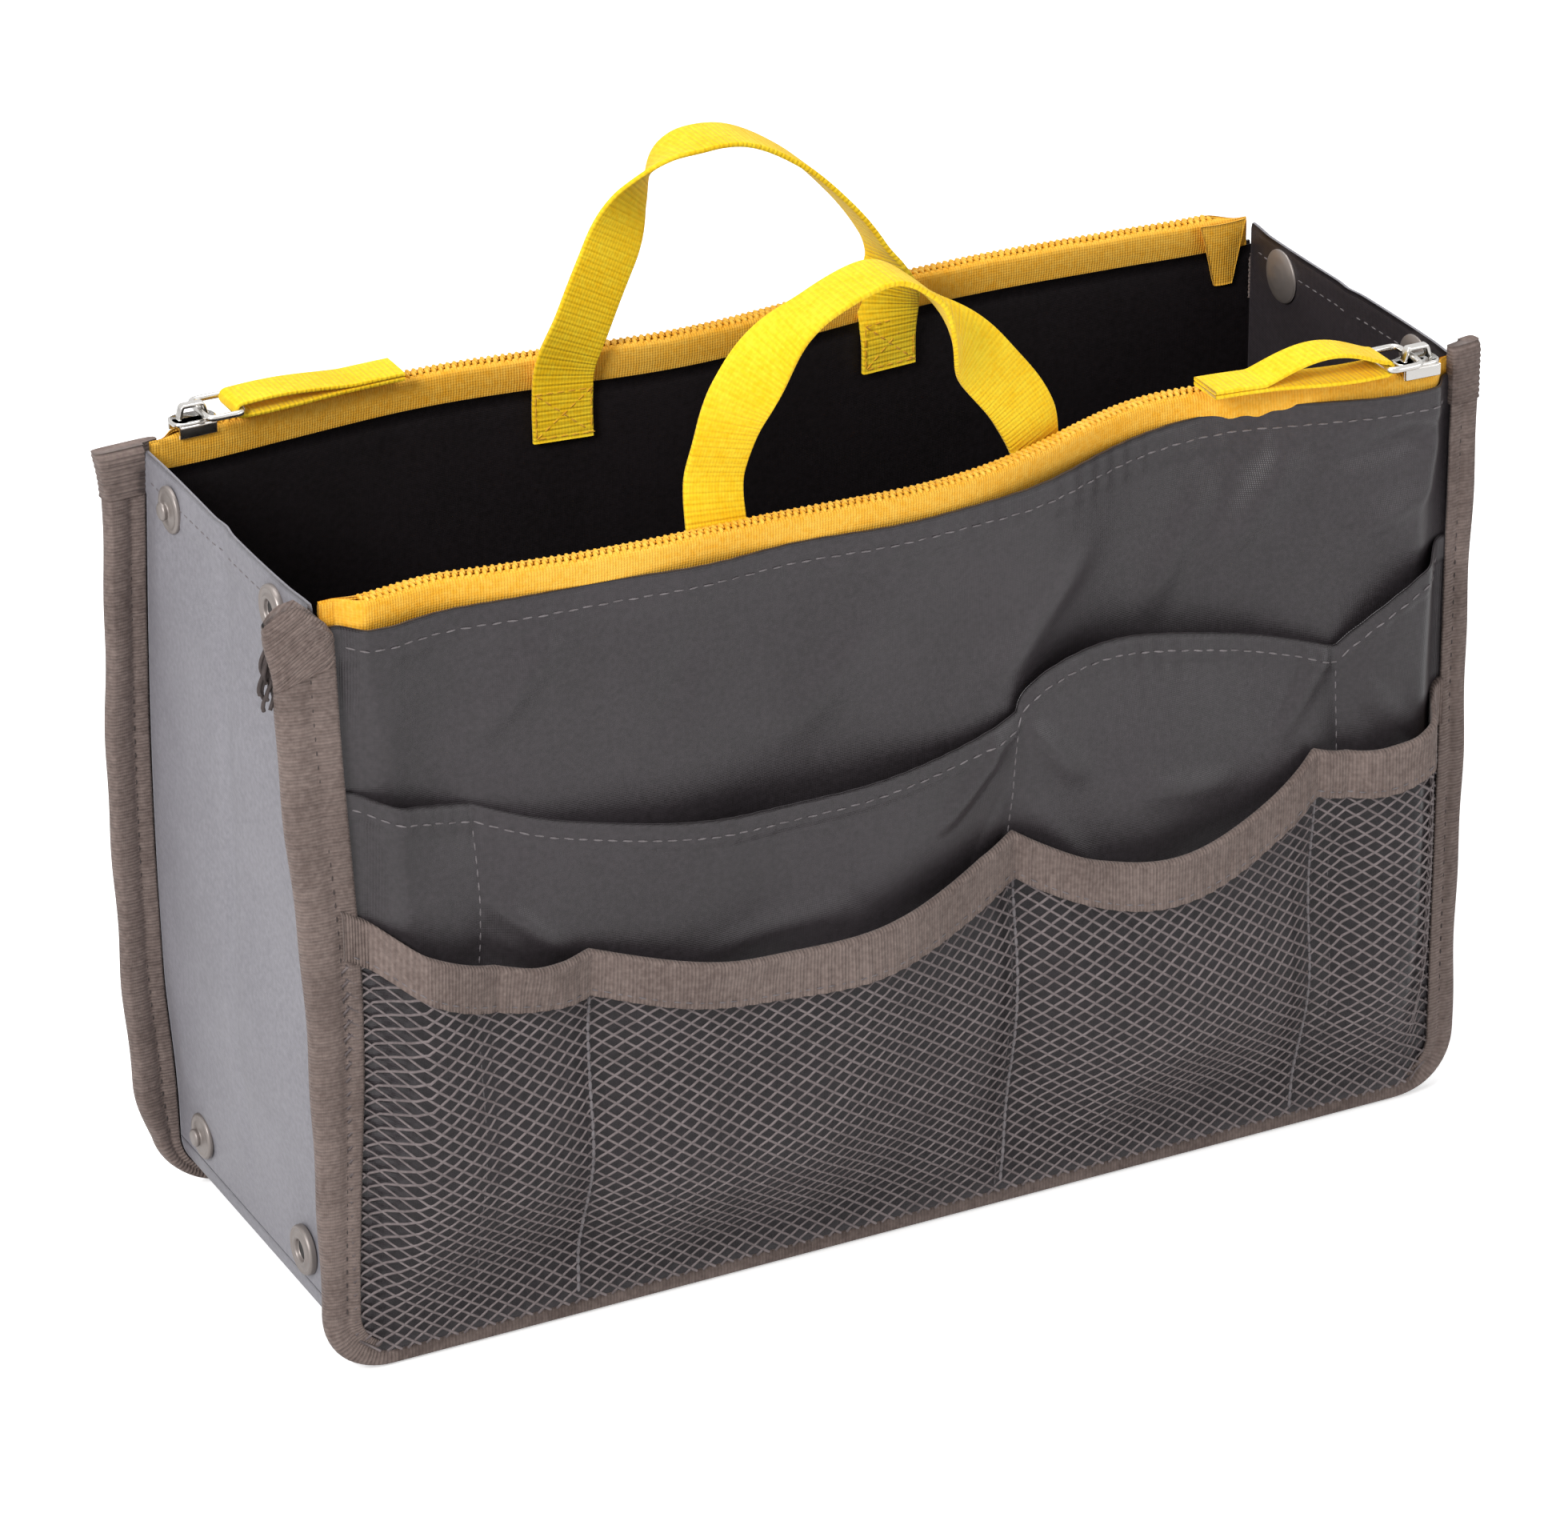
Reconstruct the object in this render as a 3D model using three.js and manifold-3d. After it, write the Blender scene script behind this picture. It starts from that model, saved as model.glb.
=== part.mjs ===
// A soft organiser that is dropped into a handbag: two long zipped walls, two ends that fold
// inwards on snap fasteners, a base, two webbing handles, and cloth and net pockets outside.
// Millimetres, +Z up. The front wall is on the -Y side, and the object stands on z = 0.
import * as THREE from "three";
import { mergeVertices } from "three/addons/utils/BufferGeometryUtils.js";
import Module from "manifold-3d";

const wasm = await Module();
wasm.setup();

// Overall sizes
const SEAM_LENGTH = 258; // from one end seam to the other
const WALL_HEIGHT = 175; // floor to the top of the zip teeth
const INSIDE_DEPTH = 84; // between the inner faces of the two walls
const CORNER_RADIUS = 10; // of the seam where an end turns into the base

// Cloth and the room between its layers
const CLOTH = 0.7;
const END_CLOTH = 0.9;
const SEWN_GAP = 0.4;
const LAYER_GAP = 0.6;
const NET_GAP = 0.4;
const MOUTH_SLOT_GAP = 1.2;
const MATING_GAP = 0.3;

// Binding tape round each wall, folded over the edges of the cloth
const FIN_WIDTH = 10;
const FOOT_HEIGHT = 4;
const BINDING_LAP = 2;
const BINDING_CLOTH = 0.7;
const BINDING_TOP_DROP = 1;

// Zipped pocket between the two layers of a wall
const ZIP_POCKET_DEPTH = 5;
const POCKET_END_RUN = 7;
const POCKET_BOTTOM_RUN = 40;
const PANEL_TOP_DROP = 7.5;

// Zip: tape, teeth and slider
const TAPE_CLOTH = 0.6;
const TAPE_DEPTH = 13;
const TAPE_END_GAP = 3.6;
const TOOTH_PITCH = 4;
const TOOTH_WIDTH = 1.7;
const INNER_TOOTH_SHARE = 0.25; // of the pitch, where each tape's teeth begin
const OUTER_TOOTH_SHARE = 0.75;
const TOOTH_HEIGHT = 1.8;
const TOOTH_ROOT = 1;
const TOOTH_REACH = 1.9;
const TEETH_END_GAP = 3.5;
const SLIDER_LENGTH = 10;
const SLIDER_PLATE = 1.1;
const SLIDER_FLANGE = 0.7;
const SLIDER_FLANGE_DROP = 3;
const SLIDER_POST_WIDTH = 1;
const SLIDER_POST_LENGTH = 1.8;
const SLIDER_POST_INSET = 0.7;
const SLIDER_WAIST_SHARE = 0.78;
const BRIDGE_LENGTH = 7;
const BRIDGE_WIDTH = 2;
const BRIDGE_BAR = 1;
const BRIDGE_OPENING = 2.2;
const BRIDGE_INSET = 1.6;

// Pull: a ring through the bridge and a folded webbing loop on the ring
const RING_WIRE_RADIUS = 0.7;
const RING_HALF_LENGTH = 4;
const RING_HALF_WIDTH = 5.4;
const RING_CORNER = 1.6;
const PULL_LENGTH = 41;
const PULL_WIDTH = 9;
const PULL_CLOTH = 0.9;
const PULL_BOW = 2.6;
const PULL_BOW_END_SHARE = 0.62;

// Handles
const HANDLE_WIDTH = 14.5;
const HANDLE_CLOTH = 1.2;
const HANDLE_SPAN = 76;
const HANDLE_RISE = 44;
const HANDLE_LEAN = 6.5;
const HANDLE_OFFSET = -4;
const HANDLE_HINGE_RISE = 2;
const HANDLE_FOOT_DEPTH = 21;
const HANDLE_FOOT_JOG = 7;
const HANDLE_END_GAP = 0.15;
const FOOT_TOP_GAP = 0.75;
// Centre line of the arch: shares of the span and of the rise
const HANDLE_PATH_SHARES = [
  [-0.5, 0],
  [-0.47, 0.24],
  [-0.42, 0.5],
  [-0.29, 0.81],
  [-0.06, 0.99],
  [0.12, 0.88],
  [0.24, 0.54],
  [0.36, 0.27],
  [0.5, 0],
];
const TWIST_START_SHARE = 0.16;
const TWIST_END_SHARE = 0.42;

// Ends, which hinge on the wall seams and on a crease in their middle
const HINGE_INSET = 1.5;
const END_TOP_DROP = 2;

// Snap fasteners
const SNAP_FROM_SEAM = 14;
const SNAP_FROM_TOP = 9;
const SNAP_FROM_BASE = 17;
const CAP_RADIUS = 6;
const CAP_RIM = 0.6;
const CAP_CROWN = 1.1;
const CAP_SHOULDER_SHARE = 0.8; // of the crown, halfway out
const POST_RADIUS = 1.2;
const POST_CLEARANCE = 0.3;
const HOLE_REACH_SHARE = 3; // of the cloth, so that a hole's cutter comes out on both sides
const STUD_RADIUS = 5;
const STUD_FLANGE = 1.2;
const STUD_BUTTON_RADIUS = 2.1;
const STUD_BUTTON_HEIGHT = 1.7;
const STUD_NECK_SHARE = 0.84;
const SOCKET_RADIUS = 5.4;
const SOCKET_HEIGHT = 1.9;
const SOCKET_FLOOR = 0.7;
const SOCKET_MOUTH_RADIUS = 2.6;
const SNAP_CHAMFER = 0.4;

// Pockets: seams as shares of half the pocket's length, mouths as shares of the wall's height
const FRONT_CLOTH = {
  seamShares: [-1, -0.79, 0.16, 0.78, 1],
  mouthShares: [0.76, 0.72, 0.69, 0.663, 0.766],
  sagShares: [0, 0.057, -0.045, -0.02],
};
const FRONT_NET = {
  seamShares: [-1, -0.62, 0.16, 0.72, 1],
  mouthShares: [0.611, 0.526, 0.531, 0.549, 0.577],
  sagShares: [0.025, 0.043, 0.069, 0.023],
};
const BACK_CLOTH = {
  seamShares: [-1, -0.34, 0.34, 1],
  mouthShares: [0.72, 0.7, 0.7, 0.72],
  sagShares: [0.03, 0.035, 0.03],
};
const POCKET_BULGE = 5.5;
const POCKET_BULGE_SHARE = 0.11; // of a cell's width, which limits a narrow cell's bulge
const POCKET_CROWN_SHARE = 2.2; // power of the curve across a cell
const POCKET_FILL_SHARE = 0.4; // of the height, where a cell reaches its full depth

// Net
const NET_CLOTH = 0.8;
const NET_GAP_WIDTH = 14.2;
const NET_GAP_HEIGHT = 10.4;
const NET_STRAND = 1.1;
const MOUTH_TAPE_HEIGHT = 10.5;
const MOUTH_TAPE_CLOTH = 0.6;
const NET_LAP = 3;

// How finely curves are cut
const CORNER_STEPS = 5;
const CELL_STEPS = 6;
const BOTTOM_STEPS = 4;
const END_STEPS = 4;
const SKIRT_STEPS = 12;
const HANDLE_STEPS = 30;
const ROUND_STEPS = 14;
const RING_CORNER_STEPS = 3;
const WIRE_SIDES = 6;
const PLATE_STEPS = 3;
const LOOP_STEPS = 6;
const MERGE_DISTANCE = 1e-4;
const BEND_TOLERANCE = 0.7;
const BEND_TOLERANCE_IN_TAPE = 0.5;
const BEND_ROUNDS = 5;
const BEND_TRIES = 6;

// Sizes that follow from the ones above
const HALF_LENGTH = SEAM_LENGTH / 2;
const HALF_DEPTH = INSIDE_DEPTH / 2;
const OUTER_REST = CLOTH + SEWN_GAP; // inner face of the outer panel where it is sewn down
const OUTER_FULL = OUTER_REST + ZIP_POCKET_DEPTH;
const INNER_TAPE = CLOTH + SEWN_GAP;
const OUTER_TAPE = OUTER_FULL - SEWN_GAP;
const CHAIN_CENTRE = (INNER_TAPE + OUTER_TAPE) / 2;
const CHAIN_BOTTOM = WALL_HEIGHT - TOOTH_HEIGHT;
const POCKET_HALF = HALF_LENGTH - BINDING_LAP - SEWN_GAP;
const POCKET_BOTTOM = FOOT_HEIGHT + BINDING_LAP + SEWN_GAP;
const PANEL_TOP = WALL_HEIGHT - PANEL_TOP_DROP;
const ZIP_HALF = POCKET_HALF - TAPE_END_GAP;
const PANEL_ROWS = BOTTOM_STEPS + 2;
const HINGE_Y = HALF_DEPTH - HINGE_INSET;
const END_BOTTOM = FOOT_HEIGHT + CORNER_RADIUS + SEWN_GAP;
const END_TOP = WALL_HEIGHT - END_TOP_DROP;
// how far a handle stands inside the wall, so that the pull ring passes it
const FOOT_FACE = MATING_GAP + RING_HALF_WIDTH + RING_WIRE_RADIUS - CHAIN_CENTRE;
const HANDLE_CENTRE = FOOT_FACE + HANDLE_CLOTH / 2;
const HINGE_RISE = WALL_HEIGHT + HANDLE_HINGE_RISE;

const MATERIALS = {
  shell: { color: 0x4f4b4e, roughness: 0.55, metalness: 0 },
  lining: { color: 0x3a3438, roughness: 0.6, metalness: 0 },
  end: { color: 0x97959b, roughness: 0.5, metalness: 0 },
  binding: { color: 0x8a7b77, roughness: 0.85, metalness: 0 },
  net: { color: 0x807676, roughness: 0.8, metalness: 0 },
  zipTape: { color: 0xf6b436, roughness: 0.8, metalness: 0 },
  webbing: { color: 0xf9cf1e, roughness: 0.75, metalness: 0 },
  nickel: { color: 0xc9c6c2, roughness: 0.25, metalness: 1 },
  pewter: { color: 0x8d8784, roughness: 0.35, metalness: 1 },
};

// Geometry helpers

function evenSteps(from, to, count) {
  return Array.from({ length: count + 1 }, (_, k) => from + ((to - from) * k) / count);
}

// Turns a body's faces outwards if they point inwards.
function facingOut(geometry) {
  const at = geometry.attributes.position;
  const index = geometry.index.array;
  const [a, b, c] = [new THREE.Vector3(), new THREE.Vector3(), new THREE.Vector3()];
  let volume = 0;
  for (let i = 0; i < index.length; i += 3) {
    a.fromBufferAttribute(at, index[i]);
    b.fromBufferAttribute(at, index[i + 1]);
    c.fromBufferAttribute(at, index[i + 2]);
    volume += a.dot(b.cross(c));
  }
  if (volume < 0) {
    for (let i = 0; i < index.length; i += 3) {
      [index[i + 1], index[i + 2]] = [index[i + 2], index[i + 1]];
    }
  }
  return geometry;
}

function geometryOf(points, faces) {
  const geometry = new THREE.BufferGeometry();
  geometry.setAttribute("position", new THREE.Float32BufferAttribute(points.flat(), 3));
  geometry.setIndex(faces.flat());
  return facingOut(geometry);
}

// Keeps a geometry's positions only, with shared corners merged.
function bare(geometry) {
  const copy = geometry.index ? geometry.toNonIndexed() : geometry.clone();
  copy.deleteAttribute("normal");
  copy.deleteAttribute("uv");
  return facingOut(mergeVertices(copy, MERGE_DISTANCE));
}

function solidOf(geometry) {
  const merged = bare(geometry);
  return new wasm.Manifold(
    new wasm.Mesh({
      numProp: 3,
      vertProperties: merged.attributes.position.array,
      triVerts: new Uint32Array(merged.index.array),
    }),
  );
}

function geometryOfSolid(solid) {
  const mesh = solid.getMesh();
  const geometry = new THREE.BufferGeometry();
  geometry.setAttribute("position", new THREE.BufferAttribute(mesh.vertProperties, 3));
  geometry.setIndex(new THREE.BufferAttribute(mesh.triVerts, 1));
  return geometry;
}

function joined(...geometries) {
  return geometryOfSolid(geometries.map(solidOf).reduce((all, next) => all.add(next)));
}

function cut(geometry, ...tools) {
  return geometryOfSolid(tools.map(solidOf).reduce((all, next) => all.subtract(next), solidOf(geometry)));
}

// A closed sheet on a grid, from the corners of its inner and outer faces.
function gridSheet(columns, rows, inner, outer) {
  const points = [];
  const faces = [];
  const at = (layer, i, j) => (layer * columns + i) * rows + j;
  [inner, outer].forEach((face) => {
    for (let i = 0; i < columns; i++) {
      for (let j = 0; j < rows; j++) points.push(face(i, j));
    }
  });
  const quad = (a, b, c, d) => faces.push([a, b, c], [a, c, d]);
  for (let i = 0; i + 1 < columns; i++) {
    for (let j = 0; j + 1 < rows; j++) {
      quad(at(1, i, j), at(1, i + 1, j), at(1, i + 1, j + 1), at(1, i, j + 1));
      quad(at(0, i, j), at(0, i, j + 1), at(0, i + 1, j + 1), at(0, i + 1, j));
    }
    const last = rows - 1;
    quad(at(0, i, 0), at(0, i + 1, 0), at(1, i + 1, 0), at(1, i, 0));
    quad(at(0, i, last), at(1, i, last), at(1, i + 1, last), at(0, i + 1, last));
  }
  for (let j = 0; j + 1 < rows; j++) {
    const last = columns - 1;
    quad(at(0, 0, j), at(1, 0, j), at(1, 0, j + 1), at(0, 0, j + 1));
    quad(at(0, last, j), at(0, last, j + 1), at(1, last, j + 1), at(1, last, j));
  }
  return geometryOf(points, faces);
}

// Joins rings of points, one after another, into a closed body; lid lists a ring's own triangles.
// The second half of a ring is the other face of the first, so its quads are cut the other way.
function loft(rings, lid) {
  const size = rings[0].length;
  const faces = [];
  for (let k = 0; k + 1 < rings.length; k++) {
    for (let m = 0; m < size; m++) {
      const a = k * size + m;
      const b = k * size + ((m + 1) % size);
      if (m < size / 2) faces.push([a, b, b + size], [a, b + size, a + size]);
      else faces.push([a, b, a + size], [b, b + size, a + size]);
    }
  }
  const end = (rings.length - 1) * size;
  lid.forEach(([a, b, c]) => faces.push([a, c, b], [end + a, end + b, end + c]));
  return geometryOf(rings.flat(), faces);
}

// Joins rings of points into a body that closes on itself.
function closedLoft(rings) {
  const size = rings[0].length;
  const faces = [];
  rings.forEach((_, k) => {
    const next = (k + 1) % rings.length;
    for (let m = 0; m < size; m++) {
      const side = (m + 1) % size;
      const [a, b, c, d] = [k * size + m, k * size + side, next * size + side, next * size + m];
      faces.push([a, b, c], [a, c, d]);
    }
  });
  return geometryOf(rings.flat(), faces);
}

const QUAD_LID = [
  [0, 1, 2],
  [0, 2, 3],
];
const CHANNEL_LID = [
  [0, 1, 6],
  [0, 6, 7],
  [1, 2, 5],
  [1, 5, 6],
  [2, 3, 4],
  [2, 4, 5],
];

// Bends a flat geometry: place gives where each of its points goes, and an edge that would be off
// by more than the tolerance there is split first, where it is worst. Both faces are split alike.
function bent(flat, place, toleranceAt) {
  const at = flat.attributes.position;
  const points = Array.from({ length: at.count }, (_, k) => [at.getX(k), at.getY(k), at.getZ(k)]);
  const between = (p, q, share) => p.map((value, axis) => THREE.MathUtils.lerp(value, q[axis], share));
  const leftmost = (k, other) => points[k][0] - points[other][0] || points[k][1] - points[other][1];
  const index = [...flat.index.array];
  let faces = [];
  for (let k = 0; k < index.length; k += 3) faces.push(index.slice(k, k + 3));
  for (let round = 0; round < BEND_ROUNDS; round++) {
    const found = new Map();
    const splitOf = (a, b) => {
      const key = a < b ? `${a},${b}` : `${b},${a}`;
      if (!found.has(key)) {
        const [p, q] = [a, b].sort(leftmost).map((k) => points[k]);
        const tries = evenSteps(0, 1, BEND_TRIES).map((share) => {
          const point = between(p, q, share);
          const chord = between(place(...p), place(...q), share);
          const off = Math.hypot(...place(...point).map((value, axis) => value - chord[axis]));
          return [off / toleranceAt(...point), point];
        });
        const [off, point] = tries.sort((one, other) => other[0] - one[0])[0];
        found.set(key, off > 1 ? points.push(point) - 1 : -1);
      }
      return found.get(key);
    };
    faces = faces.flatMap(([a, b, c]) => {
      const splits = [splitOf(a, b), splitOf(b, c), splitOf(c, a)];
      const ring = [a, splits[0], b, splits[1], c, splits[2]].filter((k) => k >= 0);
      if (ring.length === 3) return [ring];
      const start = ring.indexOf(splits.filter((k) => k >= 0).sort(leftmost)[0]);
      const turned = [...ring.slice(start), ...ring.slice(0, start)];
      return turned.slice(2).map((last, k) => [turned[0], turned[k + 1], last]);
    });
  }
  return geometryOf(points.map((point) => place(...point)), faces);
}

// Smooth rise from 0 to 1 over a run.
function ramp(distance, run) {
  const s = THREE.MathUtils.clamp(distance / run, 0, 1);
  return s * s * (3 - 2 * s);
}

// A point of the front wall, from its place along the wall, outwards from its inner face, and up.
const onWall = (x, out, z) => [x, -(HALF_DEPTH + out), z];

function extruded(shape, depth) {
  return new THREE.ExtrudeGeometry(shape, { depth, bevelEnabled: false });
}

function mesh(name, geometry, material) {
  const made = new THREE.Mesh(geometry, new THREE.MeshStandardMaterial(MATERIALS[material]));
  made.name = name;
  return made;
}

// Outline of a wall

// The line that a wall's sheet stands on, from end to end, given how far it stands off the seam.
function footLine(standOff) {
  const centreX = HALF_LENGTH - CORNER_RADIUS;
  const centreZ = FOOT_HEIGHT + CORNER_RADIUS;
  const corner = [];
  for (let k = 0; k <= CORNER_STEPS; k++) {
    const turn = (k / CORNER_STEPS) * (Math.PI / 2);
    const reach = CORNER_RADIUS + standOff(k / CORNER_STEPS);
    corner.push([centreX + reach * Math.cos(turn), centreZ - reach * Math.sin(turn)]);
  }
  return [...corner.map(([x, z]) => [-x, z]), ...corner.reverse()];
}

// Columns of a wall's sheet: its foot line's own corners, and one at each of the places given.
function wallColumns(standOff, places) {
  const line = footLine(standOff);
  const added = places.map((x) => {
    const k = line.findIndex(([along]) => along >= x);
    if (k < 1) return null;
    const [[x0, z0], [x1, z1]] = [line[k - 1], line[k]];
    return [x, THREE.MathUtils.lerp(z0, z1, (x - x0) / (x1 - x0))];
  });
  const apart = (a, b) => Math.abs(a[0] - b[0]) > LAYER_GAP;
  const kept = added.filter((column) => column && line.every((corner) => apart(column, corner)));
  return [...line, ...kept].sort((a, b) => a[0] - b[0]);
}

// How far the binding stands out from the seam: its full width at an end, less under the wall.
const finAt = (turnShare) => THREE.MathUtils.lerp(FIN_WIDTH, FOOT_HEIGHT, ramp(turnShare, 1));
const inBinding = (turnShare) => finAt(turnShare) - BINDING_CLOTH - SEWN_GAP;
const besideBinding = () => -(BINDING_LAP + SEWN_GAP);

// Heights of a sheet's rows: its foot, the shared levels of the bulging part, and its top.
function rowHeights(low, top) {
  const shared = evenSteps(0, POCKET_BOTTOM_RUN, BOTTOM_STEPS).slice(1);
  return [low, ...shared.map((height) => POCKET_BOTTOM + height), top];
}

// Pockets

function pocketOf({ seamShares, mouthShares, sagShares }) {
  return {
    seams: seamShares.map((share) => share * POCKET_HALF),
    mouths: mouthShares.map((share) => share * WALL_HEIGHT),
    sags: sagShares.map((share) => share * WALL_HEIGHT),
  };
}

// The cell that a place along the wall is in, and its share of the way across it.
function cellAt(pocket, x) {
  const found = pocket.seams.findIndex((seam, k) => k > 0 && x <= seam);
  const right = found < 0 ? pocket.seams.length - 1 : found;
  const [from, to] = [pocket.seams[right - 1], pocket.seams[right]];
  return [right - 1, THREE.MathUtils.clamp((x - from) / (to - from), 0, 1)];
}

function mouthAt(pocket, x) {
  const [cell, share] = cellAt(pocket, x);
  const straight = THREE.MathUtils.lerp(pocket.mouths[cell], pocket.mouths[cell + 1], share);
  return straight - pocket.sags[cell] * 4 * share * (1 - share);
}

// How far a pocket's cell stands away from what is behind it.
function bulgeAt(pocket, x, z) {
  const [cell, share] = cellAt(pocket, x);
  const width = pocket.seams[cell + 1] - pocket.seams[cell];
  const most = Math.min(POCKET_BULGE, width * POCKET_BULGE_SHARE);
  const across = 1 - Math.abs(2 * share - 1) ** POCKET_CROWN_SHARE;
  const height = mouthAt(pocket, x) - POCKET_BOTTOM;
  return most * across * ramp(z - POCKET_BOTTOM, height * POCKET_FILL_SHARE);
}

// Faces of the layers of a wall, as distances out from its inner face

function panelInner(x, z) {
  const fromEnd = ramp(POCKET_HALF - Math.abs(x), POCKET_END_RUN);
  const fromBottom = ramp(z - POCKET_BOTTOM, POCKET_BOTTOM_RUN);
  return OUTER_REST + ZIP_POCKET_DEPTH * fromEnd * fromBottom;
}

const pocketInner = (pocket, x, z) => panelInner(x, z) + CLOTH + LAYER_GAP + bulgeAt(pocket, x, z);

const frontCloth = pocketOf(FRONT_CLOTH);
const backCloth = pocketOf(BACK_CLOTH);
const netPocket = pocketOf(FRONT_NET);

const netStandOff = CLOTH + NET_GAP + MOUTH_TAPE_CLOTH + MOUTH_SLOT_GAP;
const netInner = (x, z) => pocketInner(frontCloth, x, z) + netStandOff + bulgeAt(netPocket, x, z);

// Places at the two ends, where the outer layer comes in to its seam.
const endPlaces = evenSteps(POCKET_HALF - POCKET_END_RUN, POCKET_HALF, END_STEPS);
const bothEnds = [...endPlaces.map((x) => -x), ...endPlaces];

// Places at the ends and through each pocket's cells, none too near its neighbour.
function sheetPlaces(...pockets) {
  const cells = pockets.flatMap((pocket) =>
    pocket.seams.slice(1).flatMap((seam, k) => evenSteps(pocket.seams[k], seam, CELL_STEPS)),
  );
  const sorted = [...bothEnds, ...cells].sort((a, b) => a - b);
  return sorted.filter((x, k) => k === 0 || x - sorted[k - 1] > LAYER_GAP);
}

function outerPanel() {
  const columns = wallColumns(inBinding, bothEnds);
  const face = (out) => (i, j) => {
    const [x, low] = columns[i];
    const z = rowHeights(low, PANEL_TOP)[j];
    return onWall(x, panelInner(x, z) + out, z);
  };
  return gridSheet(columns.length, PANEL_ROWS, face(0), face(CLOTH));
}

function innerPanel() {
  const columns = wallColumns(inBinding, []);
  const face = (out) => (i, j) => onWall(columns[i][0], out, j ? PANEL_TOP : columns[i][1]);
  return gridSheet(columns.length, 2, face(0), face(CLOTH));
}

function clothPocket(pocket) {
  const columns = wallColumns(besideBinding, sheetPlaces(pocket));
  const face = (out) => (i, j) => {
    const [x, low] = columns[i];
    const z = rowHeights(low, mouthAt(pocket, x))[j];
    return onWall(x, pocketInner(pocket, x, z) + out, z);
  };
  return gridSheet(columns.length, PANEL_ROWS, face(0), face(CLOTH));
}

// A flat net of diamond gaps, then bent to the pocket's shape.
function netSheet() {
  const stepX = NET_GAP_WIDTH + NET_STRAND;
  const stepZ = NET_GAP_HEIGHT + NET_STRAND;
  const topAt = (x) => mouthAt(netPocket, x) - MOUTH_TAPE_HEIGHT + NET_LAP;
  const columns = wallColumns(besideBinding, sheetPlaces(frontCloth, netPocket));
  const bottom = columns.map(([x, low]) => [x, low]);
  const top = columns.map(([x]) => [x, topAt(x)]).reverse();
  const sides = [1, -1].map((end) => {
    const x = end * POCKET_HALF;
    const low = POCKET_BOTTOM + CORNER_RADIUS;
    const heights = evenSteps(low, topAt(x) - stepZ, Math.round((topAt(x) - low) / stepZ));
    return (end > 0 ? heights : heights.reverse()).map((z) => [x, z]);
  });
  const outline = [...bottom, ...sides[0], ...top, ...sides[1]];
  const shape = new THREE.Shape(outline.map(([x, z]) => new THREE.Vector2(x, z)));
  const halfX = NET_GAP_WIDTH / 2;
  const halfZ = NET_GAP_HEIGHT / 2;
  const side = POCKET_HALF - NET_STRAND;
  const rows = Math.floor((2 * WALL_HEIGHT) / stepZ);
  for (let row = 0; row < rows; row++) {
    const z = POCKET_BOTTOM + NET_STRAND + halfZ + (row * stepZ) / 2;
    const count = Math.floor(side / stepX);
    const shift = row % 2 ? stepX / 2 : 0;
    for (let k = -count - 1; k <= count; k++) {
      const x = k * stepX + shift;
      const lowest = Math.abs(x) + halfX > HALF_LENGTH - CORNER_RADIUS ? CORNER_RADIUS : 0;
      const highest = Math.min(...[x - halfX, x, x + halfX].map(topAt));
      const fits =
        Math.abs(x) + halfX < side &&
        z - halfZ > POCKET_BOTTOM + lowest &&
        z + halfZ + NET_STRAND < highest;
      if (!fits) continue;
      shape.holes.push(
        new THREE.Path([
          new THREE.Vector2(x - halfX, z),
          new THREE.Vector2(x, z - halfZ),
          new THREE.Vector2(x + halfX, z),
          new THREE.Vector2(x, z + halfZ),
        ]),
      );
    }
  }
  const inTape = (x, z) => z > topAt(x) - NET_LAP - LAYER_GAP;
  return bent(
    bare(extruded(shape, 1)),
    (x, z, face) => onWall(x, netInner(x, z) + face * NET_CLOTH, z),
    (x, z) => (inTape(x, z) ? BEND_TOLERANCE_IN_TAPE : BEND_TOLERANCE),
  );
}

// The tape folded over the net's mouth.
function mouthTape() {
  const rings = sheetPlaces(frontCloth, netPocket).map((x) => {
    const top = mouthAt(netPocket, x);
    const low = top - MOUTH_TAPE_HEIGHT;
    const inside = netInner(x, top) - MOUTH_SLOT_GAP;
    const outside = netInner(x, top) + NET_CLOTH + MOUTH_SLOT_GAP;
    const insideLow = netInner(x, low) - MOUTH_SLOT_GAP;
    const outsideLow = netInner(x, low) + NET_CLOTH + MOUTH_SLOT_GAP;
    return [
      onWall(x, insideLow - MOUTH_TAPE_CLOTH, low),
      onWall(x, inside - MOUTH_TAPE_CLOTH, top),
      onWall(x, outside + MOUTH_TAPE_CLOTH, top),
      onWall(x, outsideLow + MOUTH_TAPE_CLOTH, low),
      onWall(x, outsideLow, low),
      onWall(x, outside, top - MOUTH_TAPE_CLOTH),
      onWall(x, inside, top - MOUTH_TAPE_CLOTH),
      onWall(x, insideLow, low),
    ];
  });
  return loft(rings, CHANNEL_LID);
}

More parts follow.
